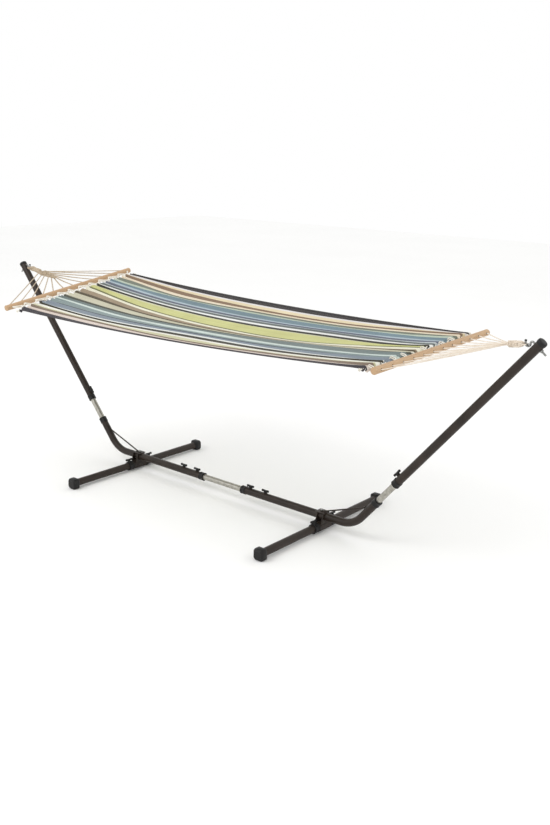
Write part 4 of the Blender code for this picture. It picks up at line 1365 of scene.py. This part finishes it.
def clothRow(u):
    marks = stripeStarts(u)
    across = acrossAt(marks)
    points = bedPoint(u, across)
    fromEnd = min(u, 1 - u) * hammock["bedLength"]
    # gathers between the lacing points
    soft = np.clip((1 - np.abs(across)) / 0.05, 0, 1)
    high = cloth["pleatHigh"] * math.exp(-fromEnd / cloth["pleatFade"])
    high += cloth["longPleatHigh"] * math.exp(-fromEnd / cloth["longPleatFade"])
    wave = np.sin(2 * math.pi * cloth["pleats"] * flatShare + pleatShift * (1 + fromEnd * 1.5))
    wave = np.sign(wave) * np.abs(wave) ** cloth["pleatSharp"]
    lift = high * pleatSize * wave * (cloth["pleatAtEdge"] + (1 - cloth["pleatAtEdge"]) * soft)
    # long soft folds where a stripe shows less than its cut width
    share = np.clip(-np.diff(marks) * hammock["bedWidth"] / 2 / cutWidths, 0, 1)
    spare = np.minimum(cutWidths * np.sqrt(1 - share ** 2) / 4, cloth["foldHigh"])
    lift += (foldWay * spare)[inStripe] * np.sin(math.pi * shareIn) ** 2 * cloth["foldShare"]
    rise, drop = cloth["edgeRise"] * np.clip(across, 0, 1) ** 3, cloth["edgeDrop"] * np.clip(-across, 0, 1) ** 3
    points[:, 2] += lift + 4 * u * (1 - u) * (rise - drop)
    # the hem is drawn towards the bar between the holes, where the lacing takes it
    drawn = np.cos(math.pi * across * hammock["bedWidth"] / 2 / holePitch) ** 2 - 0.35
    points[:, 0] += (-1 if u < 0.5 else 1) * cloth["scallop"] * drawn * math.exp(-fromEnd / cloth["scallopFade"])
    return points


even = np.linspace(0, 1, cloth["rowsAlong"])
rowPlaces = cloth["rowsTowardsEnds"] * (0.5 - 0.5 * np.cos(math.pi * even)) + (1 - cloth["rowsTowardsEnds"]) * even
rows = [clothRow(float(u)) for u in rowPlaces]
rowV = [float(u) * hammock["bedLength"] for u in rowPlaces]
# each end is turned round the hem cord
hemRoll, hemSteps = cloth["hemRoll"], cloth["hemSteps"]
for outward in (-1, 1):
    base, baseV = (rows[0], rowV[0]) if outward < 0 else (rows[-1], rowV[-1])
    for k in range(1, hemSteps + 1):
        a = cloth["hemTurn"] * k
        point = base.copy()
        point[:, 0] += outward * math.sin(a) * hemRoll
        point[:, 2] -= (1 - math.cos(a)) * hemRoll
        at = 0 if outward < 0 else len(rows)
        rows.insert(at, point)
        rowV.insert(at, baseV + outward * a * hemRoll)


def stripedCotton(name):
    # a plain weave of coloured warp threads and a pale weft, by the cloth's own cut coordinates
    f = Finish(name, 0.90, gloss=0.10)
    f.feed(f.shader.inputs["Sheen Weight"], 0.05)
    f.feed(f.shader.inputs["Sheen Roughness"], 0.45)
    uv = f.add("ShaderNodeUVMap", {}, uv_map="metres").outputs["UV"]
    parts = f.add("ShaderNodeSeparateXYZ", {"Vector": uv}).outputs
    # threads stray a little, so a stripe's edge isn't ruled
    strayed = f.math("MULTIPLY_ADD", f.noise(uv, 30.0, 4.0), cloth["threadStray"], parts["Y"])
    share = f.math("DIVIDE", strayed, cutWidth)
    stops = [(float(mark / cutWidth), colour(*stripe[0])) for mark, stripe in zip(cutMarks, stripes)]
    half = len(stops) // 2
    tints = [f.ramp(share, *some, step=True) for some in (stops[:half], stops[half:])]
    base = f.mix(f.math("GREATER_THAN", share, stops[half][0]), *tints)
    # warp threads differ a little from one to the next
    warp = f.noise(f.place((0.6, 420.0, 1.0), uv), 1.0, 3.0)
    base = f.mix(0.42, base, f.ramp(warp, (0.32, colour(200, 200, 198)), (0.62, white)), "MULTIPLY")
    # pale weft shows between the warp threads
    weave = f.math("MULTIPLY", *(f.math("ABSOLUTE", f.math("SINE", f.math(
        "MULTIPLY", parts[axis], math.pi / cloth["thread"]))) for axis in ("X", "Y")))
    base = f.mix(f.ramp(weave, (0.02, (0.18, 0.18, 0.18, 1)), (0.30, black)), base, colour(206, 198, 180))
    worn = f.ramp(f.noise(uv, 7.0, 3.0), (0.35, colour(222, 218, 212)), (0.65, white))
    f.colour(f.mix(0.30, base, worn, "MULTIPLY"))
    soft = f.bump(f.noise(f.place((5.0, 70.0, 1.0), uv), 1.0, 4.0, 0.6), 0.30, 0.004)
    f.bump(weave, 0.35, 0.0006, soft)
    return f.material


finishes["cloth"] = stripedCotton("stripedCotton")


def clothShape(rowRange, columnRange):
    verts = np.concatenate([rows[i][columnRange] for i in rowRange])
    uvs = [[(v, u) for u, v in face] for face in gridUvs(columns[columnRange], [rowV[i] for i in rowRange])]
    return shapeOf(verts, grid(len(rowRange), len(columnRange), around=False), uvs)


def thicken(obj, thickness):
    step = obj.modifiers.new("thickness", "SOLIDIFY")
    step.thickness = thickness
    step.offset = 0.0
    return obj


def sideHem(name, first, last):
    # a folded and sewn edge along the whole length, a little proud of the cloth
    inHem = [j for j, at in enumerate(columns) if first - 1e-6 <= at <= last + 1e-6]
    shape = clothShape(range(hemSteps, len(rows) - hemSteps), inHem)
    hem = makePiece(name, [shape], ["cloth"], sharp=180, merge=False)
    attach(hem, "bed")
    return thicken(hem, cloth["sideHemThick"])


bedCloth = thicken(nodePiece("hammock_bed", [clothShape(range(len(rows)), range(len(columns)))], ["cloth"], "bed",
                             sharp=180, merge=False), cloth["thick"])
print("cloth made:", len(bedCloth.data.polygons), "faces")
hems = [sideHem("farHem", 0.0, cloth["sideHem"]), sideHem("nearHem", cutWidth - cloth["sideHem"], cutWidth)]


# Lacing: a doubled white cord from hole to hole, round the rolled end of the cloth between them

lacing = {
    "width": {"left": 0.0062, "right": 0.0046},
    "gap": {"left": 0.0034, "right": 0.0025},
    "hemCord": 0.0070,
    "hemCordEnd": 0.012,
    "knotWidth": 0.0050,
    "inHole": 0.0016,
    "round": 0.62,
    "lean": 0.008,
    "drawnOut": 0.012,
}


def bedEnd(end, across):
    # the middle of the rolled end
    u, row = (0.0, rows[hemSteps]) if end == "left" else (1.0, rows[-1 - hemSteps])
    places = acrossAt(stripeStarts(u))
    order = np.argsort(places)
    return Vector([float(np.interp(across, places[order], row[order, k])) for k in range(3)]) - Vector((0, 0, hemRoll))


def hemLacing(end):
    out, along, up = barTurn(end)
    width, r = lacing["width"][end], hammock["barRadius"]
    clear, lean = hemRoll + width * lacing["round"], lacing["lean"]
    ahead = out * (clear + lacing["drawnOut"])
    shapes = []
    for first, second in zip(holeOffsets[:-1], holeOffsets[1:]):
        centre = bedEnd(end, (first + second) / hammock["bedWidth"])
        a, b = onBar(end, first) + along * lacing["inHole"], onBar(end, second) - along * lacing["inHole"]
        for pair in (-1, 1):
            gap = (along + up * 0.9) * lacing["gap"][end] * pair
            points = [a + out * 0.002, a - out * (r - 0.002), a - out * (r + 0.006) + up * 0.001 + gap * 0.4,
                      centre + ahead - along * lean + gap + up * 0.006,
                      centre - along * 0.003 + gap + up * clear * 1.05 - out * 0.001,
                      centre - out * clear + gap,
                      centre + along * 0.003 + gap - up * clear * 1.05 - out * 0.001,
                      centre + ahead + along * lean + gap - up * 0.005,
                      b - out * (r + 0.006) - up * 0.001 + gap * 0.4, b - out * (r - 0.002), b + out * 0.002]
            shapes.append(rope(points, width, 0.0016))
    # the hem cord inside the rolled end sticks out at both sides and is knotted
    line = [bedEnd(end, c) for c in np.linspace(-1, 1, 45)]
    tips = [line[0] - along * lacing["hemCordEnd"], line[-1] + along * lacing["hemCordEnd"]]
    shapes.append(rope([tips[0]] + line + [tips[1]], lacing["hemCord"], 0.002))
    for tip, way in zip(tips, (-along, along)):
        knot = [tip + Vector((0, 0, 0.004)), tip + way * 0.003 + out * 0.004,
                tip + way * 0.001 - Vector((0, 0, 0.0045)), tip + way * 0.004 - out * 0.004]
        shapes.append(rope(knot, lacing["knotWidth"], 0.0012, loop=True))
    nodePiece("hem_cord_" + end, shapes, ["whiteCord"], "bed", name="hemLacing" + end.capitalize(), sharp=80,
              merge=False)


for end in ends:
    hemLacing(end)
print("lacing made")


# Floor, light and camera

studio = {
    "floorHalf": 14,
    "floor": colour(253, 253, 252),
    "floorShade": colour(251, 251, 250),
    "skyStrength": 1.0,
    "lampSize": 3.0,
    "lampsLookAt": (0, 0, 0.5),
    "key": ((-1.5, -3.5, 4.2), 75.0),
    "fill": ((4.0, 1.5, 3.5), 22.0),
}
scene = bpy.context.scene
half = studio["floorHalf"]
floorMesh = bpy.data.meshes.new("floor")
floorMesh.from_pydata([(-half, -half, 0), (half, -half, 0), (half, half, 0), (-half, half, 0)], [], [(0, 1, 2, 3)])
floor = bpy.data.objects.new("floor", floorMesh)
scene.collection.objects.link(floor)
paleFloor = Finish("paleFloor", 0.9, gloss=0.1)
paleFloor.colour(paleFloor.ramp(paleFloor.noise(paleFloor.place(), 0.6, 2.0),
                                (0.3, studio["floorShade"]), (0.7, studio["floor"])))
floorMesh.materials.append(paleFloor.material)

world = bpy.data.worlds.new("studio")
scene.world = world
world.use_nodes = True
backdrop = world.node_tree.nodes["Background"]
backdrop.inputs["Color"].default_value = white
backdrop.inputs["Strength"].default_value = studio["skyStrength"]


def softLight(name, position, energy):
    lamp = bpy.data.lights.new(name, "AREA")
    lamp.size = studio["lampSize"]
    lamp.energy = energy
    obj = bpy.data.objects.new(name, lamp)
    obj.location = position
    obj.rotation_euler = (Vector(studio["lampsLookAt"]) - Vector(position)).to_track_quat("-Z", "Y").to_euler()
    scene.collection.objects.link(obj)


softLight("keyLight", *studio["key"])
softLight("fillLight", *studio["fill"])

view = {
    "position": (2.82831, -3.01818, 1.60865),
    "turn": math.radians(39.761),
    "tilt": math.radians(-15.993),
    "roll": math.radians(1.115),
    "lens": 39.70,
    "filmWidth": 36.0,
}
turn, tilt, roll = view["turn"], view["tilt"], view["roll"]
forward = Vector((-math.sin(turn) * math.cos(tilt), math.cos(turn) * math.cos(tilt), math.sin(tilt)))
level = Vector((math.cos(turn), math.sin(turn), 0))
above = level.cross(forward)
right = level * math.cos(roll) + above * math.sin(roll)
upward = above * math.cos(roll) - level * math.sin(roll)
lens = bpy.data.cameras.new("camera")
lens.lens = view["lens"]
lens.sensor_width = view["filmWidth"]
lens.clip_end = 100.0
camera = bpy.data.objects.new("camera", lens)
camera.matrix_world = Matrix.Translation(view["position"]) @ Matrix((right, upward, -forward)).transposed().to_4x4()
scene.collection.objects.link(camera)
scene.camera = camera
scene.view_settings.view_transform = "Standard"
